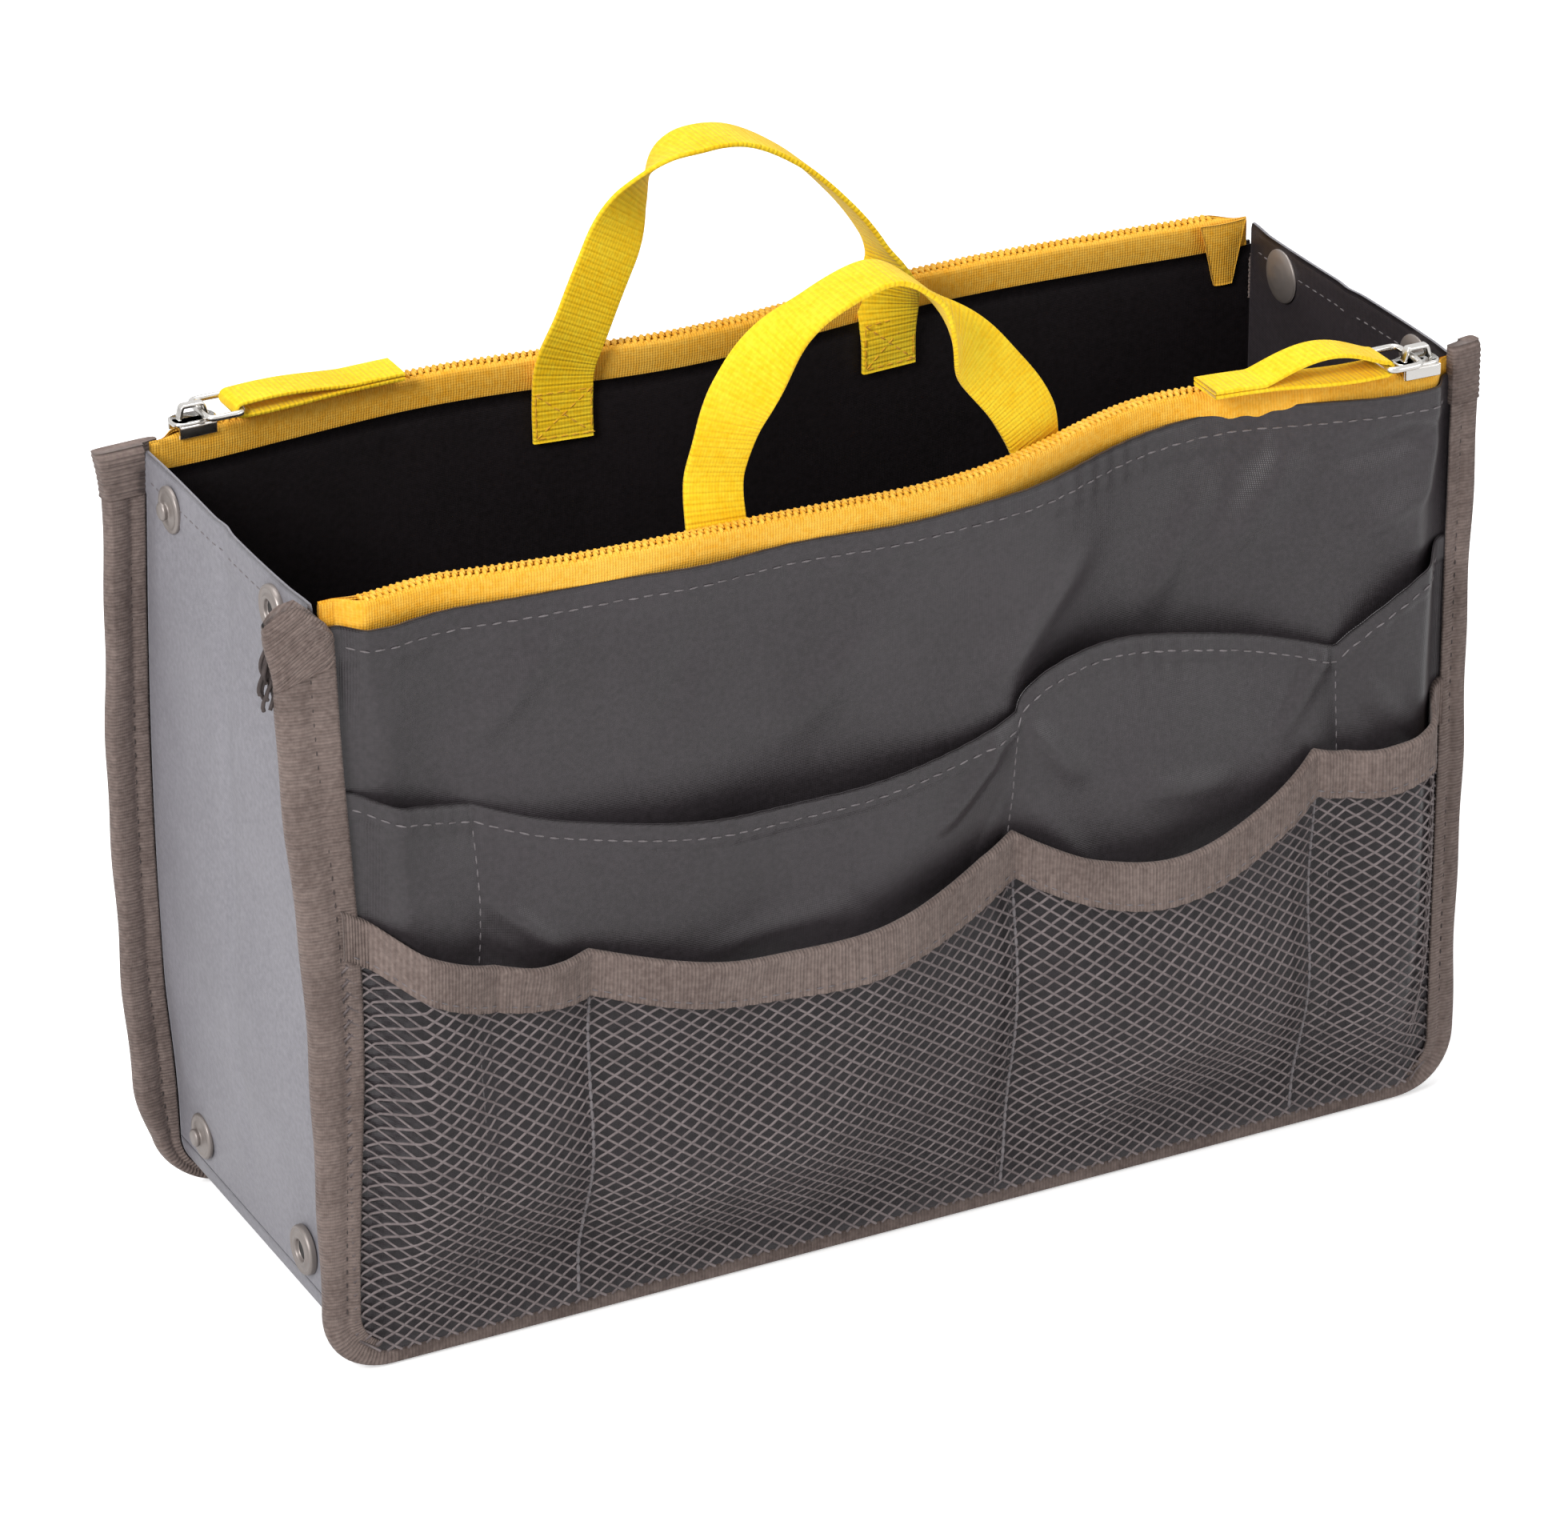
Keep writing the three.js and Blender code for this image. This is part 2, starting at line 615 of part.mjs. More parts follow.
// Binding of a wall: a folded tape down one end, round the corner, under the wall and up again.
function wallBinding() {
  const inner = footLine(() => -BINDING_LAP);
  const outer = footLine(finAt);
  const slot = footLine((share) => finAt(share) - BINDING_CLOTH);
  const top = WALL_HEIGHT - BINDING_TOP_DROP;
  const raised = (columns) => [[columns[0][0], top], ...columns, [columns.at(-1)[0], top]];
  const [ins, outs, slots] = [inner, outer, slot].map(raised);
  const low = -SEWN_GAP;
  const high = OUTER_REST + CLOTH + SEWN_GAP;
  const rings = ins.map(([x, z], k) => [
    onWall(x, low - BINDING_CLOTH, z),
    onWall(outs[k][0], low - BINDING_CLOTH, outs[k][1]),
    onWall(outs[k][0], high + BINDING_CLOTH, outs[k][1]),
    onWall(x, high + BINDING_CLOTH, z),
    onWall(x, high, z),
    onWall(slots[k][0], high, slots[k][1]),
    onWall(slots[k][0], low, slots[k][1]),
    onWall(x, low, z),
  ]);
  return loft(rings, CHANNEL_LID);
}

// Zip

// Triangles between two lines of points that run side by side, given each point's place.
function strip(upper, lower, along) {
  const faces = [];
  let [i, j] = [0, 0];
  while (i + 1 < upper.length || j + 1 < lower.length) {
    const upperEnds = i + 1 === upper.length;
    const lowerEnds = j + 1 === lower.length;
    if (lowerEnds || (!upperEnds && along(upper[i + 1]) <= along(lower[j + 1]))) {
      faces.push([upper[i], upper[i + 1], lower[j]]);
      i++;
    } else {
      faces.push([upper[i], lower[j + 1], lower[j]]);
      j++;
    }
  }
  return faces;
}

// One tape: a skirt inside the wall's layer, and a flat edge that carries its row of teeth.
function zipTape(skirtFace, edge, toward, phase) {
  const points = [];
  const lineAt = (places, out, z) =>
    places.map((x) => points.push(onWall(x, typeof out === "number" ? out : out(x, z), z)) - 1);
  const along = (k) => points[k][0];
  const root = edge + toward * TOOTH_ROOT;
  const tip = root + toward * TOOTH_REACH;
  const count = Math.floor((2 * (ZIP_HALF - TEETH_END_GAP)) / TOOTH_PITCH);
  const teeth = evenSteps(0, count - 1, count - 1).map((k) => (k - count / 2 + phase) * TOOTH_PITCH);
  const toothEdges = teeth.flatMap((x) => [x - TOOTH_WIDTH / 2, x + TOOTH_WIDTH / 2]);
  const fine = [-ZIP_HALF, ...toothEdges, ZIP_HALF];
  const between = evenSteps(POCKET_END_RUN - POCKET_HALF, POCKET_HALF - POCKET_END_RUN, SKIRT_STEPS);
  const ends = bothEnds.filter((x) => Math.abs(x) < ZIP_HALF - TAPE_CLOTH);
  const coarse = [...new Set([-ZIP_HALF, ...between, ...ends, ZIP_HALF])].sort((a, b) => a - b);
  const inside = (x, z) => skirtFace(x, z) + Math.max(0, toward) * TAPE_CLOTH;
  const outside = (x, z) => skirtFace(x, z) + Math.max(0, -toward) * TAPE_CLOTH;
  const levels = [
    WALL_HEIGHT - SLIDER_FLANGE_DROP - SEWN_GAP,
    PANEL_TOP + SEWN_GAP,
    WALL_HEIGHT - TAPE_DEPTH,
  ];
  const rootTop = lineAt(fine, root, WALL_HEIGHT);
  const rootBottom = lineAt(fine, root, CHAIN_BOTTOM);
  const lines = [
    lineAt(coarse, edge, WALL_HEIGHT),
    rootTop,
    rootBottom,
    lineAt(coarse, edge + toward * TAPE_CLOTH, CHAIN_BOTTOM),
    ...levels.map((z) => lineAt(coarse, inside, z)),
    ...[...levels].reverse().map((z) => lineAt(coarse, outside, z)),
  ];
  const faces = lines.flatMap((line, k) => {
    const next = lines[(k + 1) % lines.length];
    return line === rootTop ? [] : strip(line, next, along);
  });
  // the face of the root carries a tooth at every second step
  for (let k = 0; k + 1 < fine.length; k++) {
    const [b0, b1, c0, c1] = [rootTop[k], rootTop[k + 1], rootBottom[k], rootBottom[k + 1]];
    if (k % 2 === 0) {
      faces.push([b0, b1, c0], [b1, c1, c0]);
      continue;
    }
    const [t0, t1] = lineAt([fine[k], fine[k + 1]], tip, WALL_HEIGHT);
    const [u0, u1] = lineAt([fine[k], fine[k + 1]], tip, CHAIN_BOTTOM);
    faces.push([t0, t1, u0], [t1, u1, u0]);
    faces.push([b0, b1, t0], [b1, t1, t0]);
    faces.push([u0, u1, c0], [u1, c1, c0]);
    faces.push([b0, t0, u0], [b0, u0, c0]);
    faces.push([b1, u1, t1], [b1, c1, u1]);
  }
  const cap = lines.map((line) => line[0]);
  const far = lines.map((line) => line.at(-1));
  const quads = [[0, 1, 2, 3]];
  for (let k = 0; k <= levels.length - 1; k++) {
    const [near, opposite] = [k + 3, (lines.length - k) % lines.length];
    quads.push([opposite, near, near + 1, lines.length - 1 - k]);
  }
  quads.forEach(([a, b, c, d]) => {
    faces.push([cap[a], cap[b], cap[c]], [cap[a], cap[c], cap[d]]);
    faces.push([far[a], far[c], far[b]], [far[a], far[d], far[c]]);
  });
  return geometryOf(points, faces);
}

const innerZipTape = () => zipTape(() => INNER_TAPE, INNER_TAPE, 1, INNER_TOOTH_SHARE);

function outerZipTape() {
  const skirtFace = (x, z) => {
    const behindPanel = z < PANEL_TOP + LAYER_GAP;
    return (behindPanel ? panelInner(x, z) - SEWN_GAP : OUTER_TAPE) - TAPE_CLOTH;
  };
  return zipTape(skirtFace, OUTER_TAPE, -1, OUTER_TOOTH_SHARE);
}

// The slider stands at the wall's right end; its post is just past the last teeth.
const SLIDER_NOSE = ZIP_HALF - MATING_GAP;
const SLIDER_TAIL = SLIDER_NOSE - SLIDER_LENGTH;
const SLIDER_TOP = WALL_HEIGHT + MATING_GAP + SLIDER_PLATE;
const SLIDER_HALF = (OUTER_TAPE - INNER_TAPE) / 2 + MATING_GAP + SLIDER_FLANGE;
const BRIDGE_TAIL = SLIDER_TAIL + BRIDGE_INSET;
const RING_AXIS_X = BRIDGE_TAIL + BRIDGE_BAR + MATING_GAP + RING_WIRE_RADIUS;
const RING_AXIS_Z = SLIDER_TOP + BRIDGE_OPENING / 2;
const PULL_AXIS_X = RING_AXIS_X - 2 * RING_HALF_LENGTH;

function boxBetween([x0, out0, z0], [x1, out1, z1]) {
  const box = new THREE.BoxGeometry(x1 - x0, out1 - out0, z1 - z0);
  box.translate((x0 + x1) / 2, -(HALF_DEPTH + (out0 + out1) / 2), (z0 + z1) / 2);
  return box;
}

function slider() {
  const waist = SLIDER_HALF * SLIDER_WAIST_SHARE;
  const plan = new THREE.Shape();
  plan.moveTo(SLIDER_TAIL, -waist);
  plan.lineTo(SLIDER_TAIL + SLIDER_PLATE, -SLIDER_HALF);
  plan.lineTo(SLIDER_NOSE - SLIDER_PLATE, -SLIDER_HALF);
  plan.quadraticCurveTo(SLIDER_NOSE, -SLIDER_HALF, SLIDER_NOSE, 0);
  plan.quadraticCurveTo(SLIDER_NOSE, SLIDER_HALF, SLIDER_NOSE - SLIDER_PLATE, SLIDER_HALF);
  plan.lineTo(SLIDER_TAIL + SLIDER_PLATE, SLIDER_HALF);
  plan.lineTo(SLIDER_TAIL, waist);
  const plate = new THREE.ExtrudeGeometry(plan, {
    depth: SLIDER_TOP - WALL_HEIGHT + SLIDER_FLANGE_DROP,
    bevelEnabled: false,
    curveSegments: PLATE_STEPS,
  });
  plate.translate(0, -(HALF_DEPTH + CHAIN_CENTRE), WALL_HEIGHT - SLIDER_FLANGE_DROP);
  const overrun = SLIDER_LENGTH;
  const channel = boxBetween(
    [SLIDER_TAIL - overrun, INNER_TAPE - MATING_GAP, WALL_HEIGHT - SLIDER_FLANGE_DROP - overrun],
    [SLIDER_NOSE + overrun, OUTER_TAPE + MATING_GAP, WALL_HEIGHT + MATING_GAP],
  );
  const shell = cut(plate, channel);
  const postNose = SLIDER_NOSE - SLIDER_POST_INSET;
  const postHalf = SLIDER_POST_WIDTH / 2;
  const plateTop = CHAIN_BOTTOM - MATING_GAP;
  const post = boxBetween(
    [postNose - SLIDER_POST_LENGTH, CHAIN_CENTRE - postHalf, plateTop - SLIDER_PLATE],
    [postNose, CHAIN_CENTRE + postHalf, WALL_HEIGHT + MATING_GAP + SLIDER_PLATE / 2],
  );
  const underPlate = boxBetween(
    [SLIDER_TAIL, INNER_TAPE + TAPE_CLOTH + MATING_GAP, plateTop - SLIDER_PLATE],
    [postNose, OUTER_TAPE - TAPE_CLOTH - MATING_GAP, plateTop],
  );
  const bridgeTop = SLIDER_TOP + BRIDGE_OPENING + BRIDGE_BAR;
  const bridge = cut(
    boxBetween(
      [BRIDGE_TAIL, CHAIN_CENTRE - BRIDGE_WIDTH / 2, SLIDER_TOP - SLIDER_PLATE / 2],
      [BRIDGE_TAIL + BRIDGE_LENGTH, CHAIN_CENTRE + BRIDGE_WIDTH / 2, bridgeTop],
    ),
    boxBetween(
      [BRIDGE_TAIL + BRIDGE_BAR, CHAIN_CENTRE - BRIDGE_WIDTH, SLIDER_TOP],
      [BRIDGE_TAIL + BRIDGE_LENGTH - BRIDGE_BAR, CHAIN_CENTRE + BRIDGE_WIDTH, bridgeTop - BRIDGE_BAR],
    ),
  );
  return joined(shell, post, underPlate, bridge);
}

// A wire bent to a rounded rectangle, lying flat.
function pullRing() {
  const centreX = RING_AXIS_X - RING_HALF_LENGTH;
  const cornerX = RING_HALF_LENGTH - RING_CORNER;
  const cornerY = RING_HALF_WIDTH - RING_CORNER;
  const corners = [
    [1, 1],
    [-1, 1],
    [-1, -1],
    [1, -1],
  ];
  const rings = corners.flatMap(([sideX, sideY], corner) =>
    evenSteps(corner, corner + 1, RING_CORNER_STEPS).map((quarter) => {
      const turn = (quarter * Math.PI) / 2;
      return evenSteps(0, 1, WIRE_SIDES)
        .slice(0, WIRE_SIDES)
        .map((share) => {
          const round = share * 2 * Math.PI;
          const reach = RING_CORNER + RING_WIRE_RADIUS * Math.cos(round);
          return [
            centreX + sideX * cornerX + reach * Math.cos(turn),
            sideY * cornerY + reach * Math.sin(turn) - (HALF_DEPTH + CHAIN_CENTRE),
            RING_AXIS_Z + RING_WIRE_RADIUS * Math.sin(round),
          ];
        });
    }),
  );
  return closedLoft(rings);
}

// A webbing loop seen from the front: round the ring, bowed, then sewn together to its end.
function pullLoop() {
  const inner = RING_WIRE_RADIUS + MATING_GAP;
  const outer = inner + PULL_CLOTH;
  const [x, z] = [PULL_AXIS_X, RING_AXIS_Z];
  const end = x - PULL_LENGTH;
  const sewn = x - PULL_LENGTH * PULL_BOW_END_SHARE;
  const low = z - outer;
  const bow = (x + sewn) / 2;
  const loop = new THREE.Shape();
  loop.moveTo(end, low);
  loop.lineTo(x, low);
  loop.absarc(x, z, outer, -Math.PI / 2, Math.PI / 2, false);
  loop.quadraticCurveTo(bow, z + outer + PULL_BOW, sewn, low + 2 * PULL_CLOTH);
  loop.lineTo(end, low + 2 * PULL_CLOTH);
  const hole = new THREE.Path();
  hole.moveTo(sewn + PULL_CLOTH, low + PULL_CLOTH);
  hole.quadraticCurveTo(bow + PULL_BOW, z + inner + PULL_BOW, x, z + inner);
  hole.absarc(x, z, inner, Math.PI / 2, -Math.PI / 2, true);
  loop.holes.push(hole);
  const made = new THREE.ExtrudeGeometry(loop, {
    depth: PULL_WIDTH,
    bevelEnabled: false,
    curveSegments: LOOP_STEPS,
  });
  made.rotateX(Math.PI / 2);
  made.translate(0, PULL_WIDTH / 2 - HALF_DEPTH - CHAIN_CENTRE, 0);
  return bare(made);
}

// Handles

// Cross-sections along the arch: flat against the wall at both feet, edge-on in between, and
// turned a quarter turn at the top, where the webbing's width lies across the organiser.
function handleArch() {
  const points = HANDLE_PATH_SHARES.map(
    ([along, up]) => new THREE.Vector3(HANDLE_OFFSET + along * HANDLE_SPAN, 0, up * HANDLE_RISE),
  );
  const path = new THREE.CatmullRomCurve3(points, false, "centripetal");
  const across = new THREE.Vector3(0, 1, 0);
  const rings = evenSteps(0, 1, HANDLE_STEPS).map((share) => {
    const point = path.getPointAt(share);
    const tangent = path.getTangentAt(share);
    const fromFoot = Math.min(share, 1 - share);
    const turned = ramp(fromFoot - TWIST_START_SHARE, TWIST_END_SHARE - TWIST_START_SHARE) * (Math.PI / 2);
    const inPlane = new THREE.Vector3().crossVectors(across, tangent).normalize();
    const wide = inPlane.multiplyScalar(Math.cos(turned)).addScaledVector(across, Math.sin(turned));
    if (share === 0 || share === 1) wide.set(Math.sign(wide.x), 0, 0);
    const thick = new THREE.Vector3().crossVectors(tangent, wide).normalize();
    const lean = HANDLE_LEAN * ramp(point.z, HANDLE_RISE);
    const centre = new THREE.Vector3(
      point.x,
      HANDLE_CENTRE - HALF_DEPTH - lean,
      HINGE_RISE + HANDLE_END_GAP + point.z,
    );
    return [
      [-1, -1],
      [1, -1],
      [1, 1],
      [-1, 1],
    ].map(([side, layer]) =>
      centre
        .clone()
        .addScaledVector(wide, (side * HANDLE_WIDTH) / 2)
        .addScaledVector(thick, (layer * HANDLE_CLOTH) / 2)
        .toArray(),
    );
  });
  return loft(rings, QUAD_LID);
}

function handleFoot(side) {
  const centre = HANDLE_OFFSET + (side * HANDLE_SPAN) / 2;
  const top = HINGE_RISE - FOOT_TOP_GAP;
  const levels = [
    [WALL_HEIGHT - HANDLE_FOOT_DEPTH, SEWN_GAP],
    [PANEL_TOP - HANDLE_FOOT_JOG / 2, SEWN_GAP],
    [PANEL_TOP + HANDLE_FOOT_JOG / 2, FOOT_FACE],
    [top, FOOT_FACE],
  ];
  const edges = [centre - HANDLE_WIDTH / 2, centre + HANDLE_WIDTH / 2];
  const face = (thick) => (i, j) => onWall(edges[i], -(levels[j][1] + thick), levels[j][0]);
  return gridSheet(2, levels.length, face(HANDLE_CLOTH), face(0));
}

// Ends and base

const SNAP_HEIGHTS = { upper: END_TOP - SNAP_FROM_TOP + END_TOP_DROP, lower: FOOT_HEIGHT + SNAP_FROM_BASE };
const SNAP_Y = HINGE_Y - SNAP_FROM_SEAM;

// Half of the right end, on the side of the wall that side names: -1 front, 1 back.
function endHalf(side) {
  const seam = side * (HINGE_Y - MATING_GAP);
  const crease = (side * MATING_GAP) / 2;
  const panel = boxBetween([0, 0, END_BOTTOM], [END_CLOTH, Math.abs(seam - crease), END_TOP]);
  panel.translate(HALF_LENGTH, HALF_DEPTH + Math.max(seam, crease), 0);
  const holes = Object.values(SNAP_HEIGHTS).map((height) => {
    const reach = END_CLOTH * HOLE_REACH_SHARE;
    const hole = new THREE.CylinderGeometry(
      POST_RADIUS + POST_CLEARANCE,
      POST_RADIUS + POST_CLEARANCE,
      reach,
      ROUND_STEPS,
    );
    hole.rotateZ(Math.PI / 2);
    hole.translate(HALF_LENGTH, side * SNAP_Y, height);
    return hole;
  });
  return cut(panel, ...holes);
}

// A snap part turned about its own axis, which points out of the right end.
function turnedSnap(profile, side, height) {
  const points = profile.map(([radius, out]) => new THREE.Vector2(radius, out));
  const turned = new THREE.LatheGeometry(points, ROUND_STEPS);
  turned.rotateZ(-Math.PI / 2);
  turned.translate(HALF_LENGTH, side * SNAP_Y, height);
  return bare(turned);
}

// Cap on the inside, with the post that goes through the cloth.
function snapCap(side, height) {
  const face = -MATING_GAP;
  return turnedSnap(
    [
      [0, face - CAP_RIM - CAP_CROWN],
      [CAP_RADIUS / 2, face - CAP_RIM - CAP_CROWN * CAP_SHOULDER_SHARE],
      [CAP_RADIUS, face - CAP_RIM],
      [CAP_RADIUS, face],
      [POST_RADIUS, face],
      [POST_RADIUS, END_CLOTH + MATING_GAP + SOCKET_FLOOR],
      [0, END_CLOTH + MATING_GAP + SOCKET_FLOOR],
    ],
    side,
    height,
  );
}

function snapStud(side, height) {
  const base = END_CLOTH + MATING_GAP;
  const bore = POST_RADIUS + POST_CLEARANCE;
  const top = base + STUD_FLANGE + STUD_BUTTON_HEIGHT;
  return turnedSnap(
    [
      [bore, base],
      [STUD_RADIUS, base],
      [STUD_RADIUS, base + STUD_FLANGE - SNAP_CHAMFER],
      [STUD_RADIUS - SNAP_CHAMFER, base + STUD_FLANGE],
      [STUD_BUTTON_RADIUS * STUD_NECK_SHARE, base + STUD_FLANGE],
      [STUD_BUTTON_RADIUS, top - SNAP_CHAMFER],
      [STUD_BUTTON_RADIUS - SNAP_CHAMFER, top],
      [0, top],
      [0, base + SOCKET_FLOOR + MATING_GAP],
      [bore, base + SOCKET_FLOOR + MATING_GAP],
      [bore, base],
    ],
    side,
    height,
  );
}

function snapSocket(side, height) {
  const base = END_CLOTH + MATING_GAP;
  const bore = POST_RADIUS + POST_CLEARANCE;
  const top = base + SOCKET_HEIGHT;
  return turnedSnap(
    [
      [bore, base],
      [SOCKET_RADIUS, base],
      [SOCKET_RADIUS, top - SNAP_CHAMFER],
      [SOCKET_RADIUS - SNAP_CHAMFER, top],
      [SOCKET_MOUTH_RADIUS, top],
      [SOCKET_MOUTH_RADIUS, base + SOCKET_FLOOR],
      [bore, base + SOCKET_FLOOR],
      [bore, base],
    ],
    side,
    height,
  );
}

// The base and its rounded turns up into the two ends.
function base() {
  const outerRadius = CORNER_RADIUS + END_CLOTH;
  const centreX = HALF_LENGTH - CORNER_RADIUS;
  const centreZ = FOOT_HEIGHT + CORNER_RADIUS;
  const turn = (radius, share) => [
    centreX + radius * Math.cos((share * Math.PI) / 2),
    centreZ - radius * Math.sin((share * Math.PI) / 2),
  ];
  const shares = evenSteps(0, 1, CORNER_STEPS);
  const outside = shares.map((share) => turn(outerRadius, share));
  const inside = shares.map((share) => turn(CORNER_RADIUS, share));
  const left = (line) => line.map(([x, z]) => [-x, z]);
  const outline = [
    ...outside,
    ...left([...outside].reverse()),
    ...left(inside),
    ...[...inside].reverse(),
  ];
  const shape = new THREE.Shape(outline.map(([x, z]) => new THREE.Vector2(x, z)));
  const depth = 2 * (HALF_DEPTH - SEWN_GAP - BINDING_CLOTH - SEWN_GAP);
  const made = extruded(shape, depth);
  made.rotateX(Math.PI / 2);
  made.translate(0, depth / 2, 0);
  return bare(made);
}

// Assembly

// What both walls have; the back wall is the same, turned by half a turn.
function wall(side) {
  const group = new THREE.Group();
  group.add(
    mesh(`${side}_outer_panel`, outerPanel(), "shell"),
    mesh(`${side}_inner_panel`, innerPanel(), "lining"),
    mesh(`${side}_binding`, wallBinding(), "binding"),
    mesh(`${side}_zip_tape_outer`, outerZipTape(), "zipTape"),
    mesh(`${side}_zip_tape_inner`, innerZipTape(), "zipTape"),
    mesh(`${side}_zip_slider`, slider(), "nickel"),
    mesh(`${side}_pull_ring`, pullRing(), "nickel"),
    mesh(`${side}_pull_webbing`, pullLoop(), "webbing"),
    mesh(`${side}_handle`, handleArch(), "webbing"),
    mesh(`${side}_handle_foot_left`, handleFoot(-1), "webbing"),
    mesh(`${side}_handle_foot_right`, handleFoot(1), "webbing"),
  );
  return group;
}

// The right end as seen from the front: sockets on the front half, studs on the back half.
function rightEnd(prefix, nearWall, farWall) {
  const group = new THREE.Group();
  const halves = [
    [nearWall, -1],
    [farWall, 1],
  ];
  halves.forEach(([name, side]) => {
    const fastener = name === "front" ? "socket" : "stud";
    const made = fastener === "socket" ? snapSocket : snapStud;
    group.add(mesh(`${prefix}_end_${name}_half`, endHalf(side), "end"));
    Object.entries(SNAP_HEIGHTS).forEach(([level, height]) => {
      group.add(
        mesh(`${prefix}_${level}_${fastener}`, made(side, height), "pewter"),
        mesh(`${prefix}_${level}_${fastener}_cap`, snapCap(side, height), "pewter"),
      );
    });
  });
  return group;
}

const front = wall("front");
front.add(
  mesh("front_cloth_pocket", clothPocket(frontCloth), "shell"),
  mesh("front_net_pocket", netSheet(), "net"),
  mesh("front_net_mouth_binding", mouthTape(), "binding"),
);

const back = wall("back");
back.add(mesh("back_cloth_pocket", clothPocket(backCloth), "shell"));
back.rotation.z = Math.PI;

const right = rightEnd("right", "front", "back");
const left = rightEnd("left", "back", "front");
left.rotation.z = Math.PI;

const assembly = new THREE.Group();
assembly.add(front, back, right, left, mesh("base", base(), "end"));

// The origin is under the middle of the whole object.
assembly.updateMatrixWorld(true);
const middle = new THREE.Box3().setFromObject(assembly).getCenter(new THREE.Vector3());
assembly.position.set(0, -middle.y, 0);

const organiser = new THREE.Group();
organiser.add(assembly);

export default organiser;
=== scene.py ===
"""Looks of a handbag organiser insert: cloth walls with zips, fold-in ends, webbing handles and pockets.

Shapes are written in a wall's own millimetres: x along the wall, out from the wall's inner face, z up.
The ends and the base use y from the middle between the walls.
"""

from collections import namedtuple

import bpy
import numpy as np
from mathutils import Matrix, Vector
from numpy import arange, array, clip, concatenate, cos, cross, exp, linspace, maximum, minimum, pi, sin, stack, where


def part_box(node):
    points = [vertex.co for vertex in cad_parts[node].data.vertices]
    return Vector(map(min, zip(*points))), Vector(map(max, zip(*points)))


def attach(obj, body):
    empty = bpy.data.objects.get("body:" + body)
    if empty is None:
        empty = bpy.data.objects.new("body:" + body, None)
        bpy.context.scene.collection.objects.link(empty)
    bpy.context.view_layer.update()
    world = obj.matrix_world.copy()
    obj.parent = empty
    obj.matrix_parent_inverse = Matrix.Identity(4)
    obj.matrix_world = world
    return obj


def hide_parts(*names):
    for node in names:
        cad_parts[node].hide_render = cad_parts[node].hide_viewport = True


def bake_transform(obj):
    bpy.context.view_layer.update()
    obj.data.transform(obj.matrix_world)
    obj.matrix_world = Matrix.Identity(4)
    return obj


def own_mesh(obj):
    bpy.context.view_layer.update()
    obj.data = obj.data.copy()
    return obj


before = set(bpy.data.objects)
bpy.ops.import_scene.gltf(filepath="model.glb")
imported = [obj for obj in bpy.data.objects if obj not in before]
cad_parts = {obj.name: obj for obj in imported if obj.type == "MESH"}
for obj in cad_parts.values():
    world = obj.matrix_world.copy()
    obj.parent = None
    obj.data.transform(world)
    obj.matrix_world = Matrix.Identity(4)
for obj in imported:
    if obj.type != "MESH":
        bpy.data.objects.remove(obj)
scene = bpy.context.scene
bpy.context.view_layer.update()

MM = 0.001
UP = array([0, 0, 1.0])
SIDES = ("front", "back")
ENDS = (("left", -1), ("right", 1))

# walls and their bindings
HALF = 129.0  # from the middle to a seam
HEIGHT = 175.0
FOOT = 4.0  # height of the seam along the bottom
CORNER = 10.0
FIN = 10.0
LAP = 2.0
STITCH_SHARE = 0.36  # place of the stitches across a binding
LEFT_SHORTER = {"front": 10.5, "back": 9.0}  # how much lower a binding ends at the left, in its sleeve
FIN_MIDDLE = {"front": 1.15, "back": 0.9}
PANEL_TOP = 167.5
PANEL_SEAM = 4.4  # below the top of the outer layer
POCKET_HALF = 126.6
POCKET_LOW = 6.4
POCKET_SEAM = 3.6  # below the mouth
POCKET_DEPTH = 5.0
OUTER_REST = 1.1
HEM_RISE = 0.35
CHAIN = 3.4  # the zip's middle, out from the wall's inner face
COIL_PITCH = 1.5

# net
NET_PITCH_X, NET_PITCH_Z = 4.2, 3.1
STRAND_HALF, STRAND_HALF_THICK = 0.31, 0.22
NET_TAPE = 10.7  # height of the tape on the net's mouth

# ends and base
END_LOW, END_TOP = 14.4, 173.0
END_CLOTH = 0.9
END_HALF = 40.3  # from the middle to a seam
END_REACH = 40.9  # half the width of an end's cloth
BASE_REACH = 40.6
END_BOW = 2.4  # how far the back's end stands out at half its height
SNAP_Y = 26.5
SNAP_Z = {"upper": 166.0, "lower": 21.0}

# zip slider, ring and pull
SLIDER_NOSE, SLIDER_TAIL = 122.7, 112.7
SLIDER_HALF = 3.3
PLATE_LOW, PLATE_TOP = 175.3, 176.4
RING_X, RING_Z = 116.3, 177.5
PULL_X = RING_X - 8.0
PULL_END, PULL_SEWN = PULL_X - 37.0, PULL_X - 26.0
PULL_RISE = {"front": 4.2, "back": 0.7}

FRONT_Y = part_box("front_inner_panel")[1].y
BACK_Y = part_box("back_inner_panel")[0].y
MID_Y = (FRONT_Y + BACK_Y) / 2

rng = np.random.default_rng(5)


# ---- materials


def linear(code):
    """Linear colour from an sRGB hex code."""
    value = array([int(code[k : k + 2], 16) for k in (1, 3, 5)]) / 255
    return (*where(value <= 0.04045, value / 12.92, ((value + 0.055) / 1.055) ** 2.4).tolist(), 1.0)


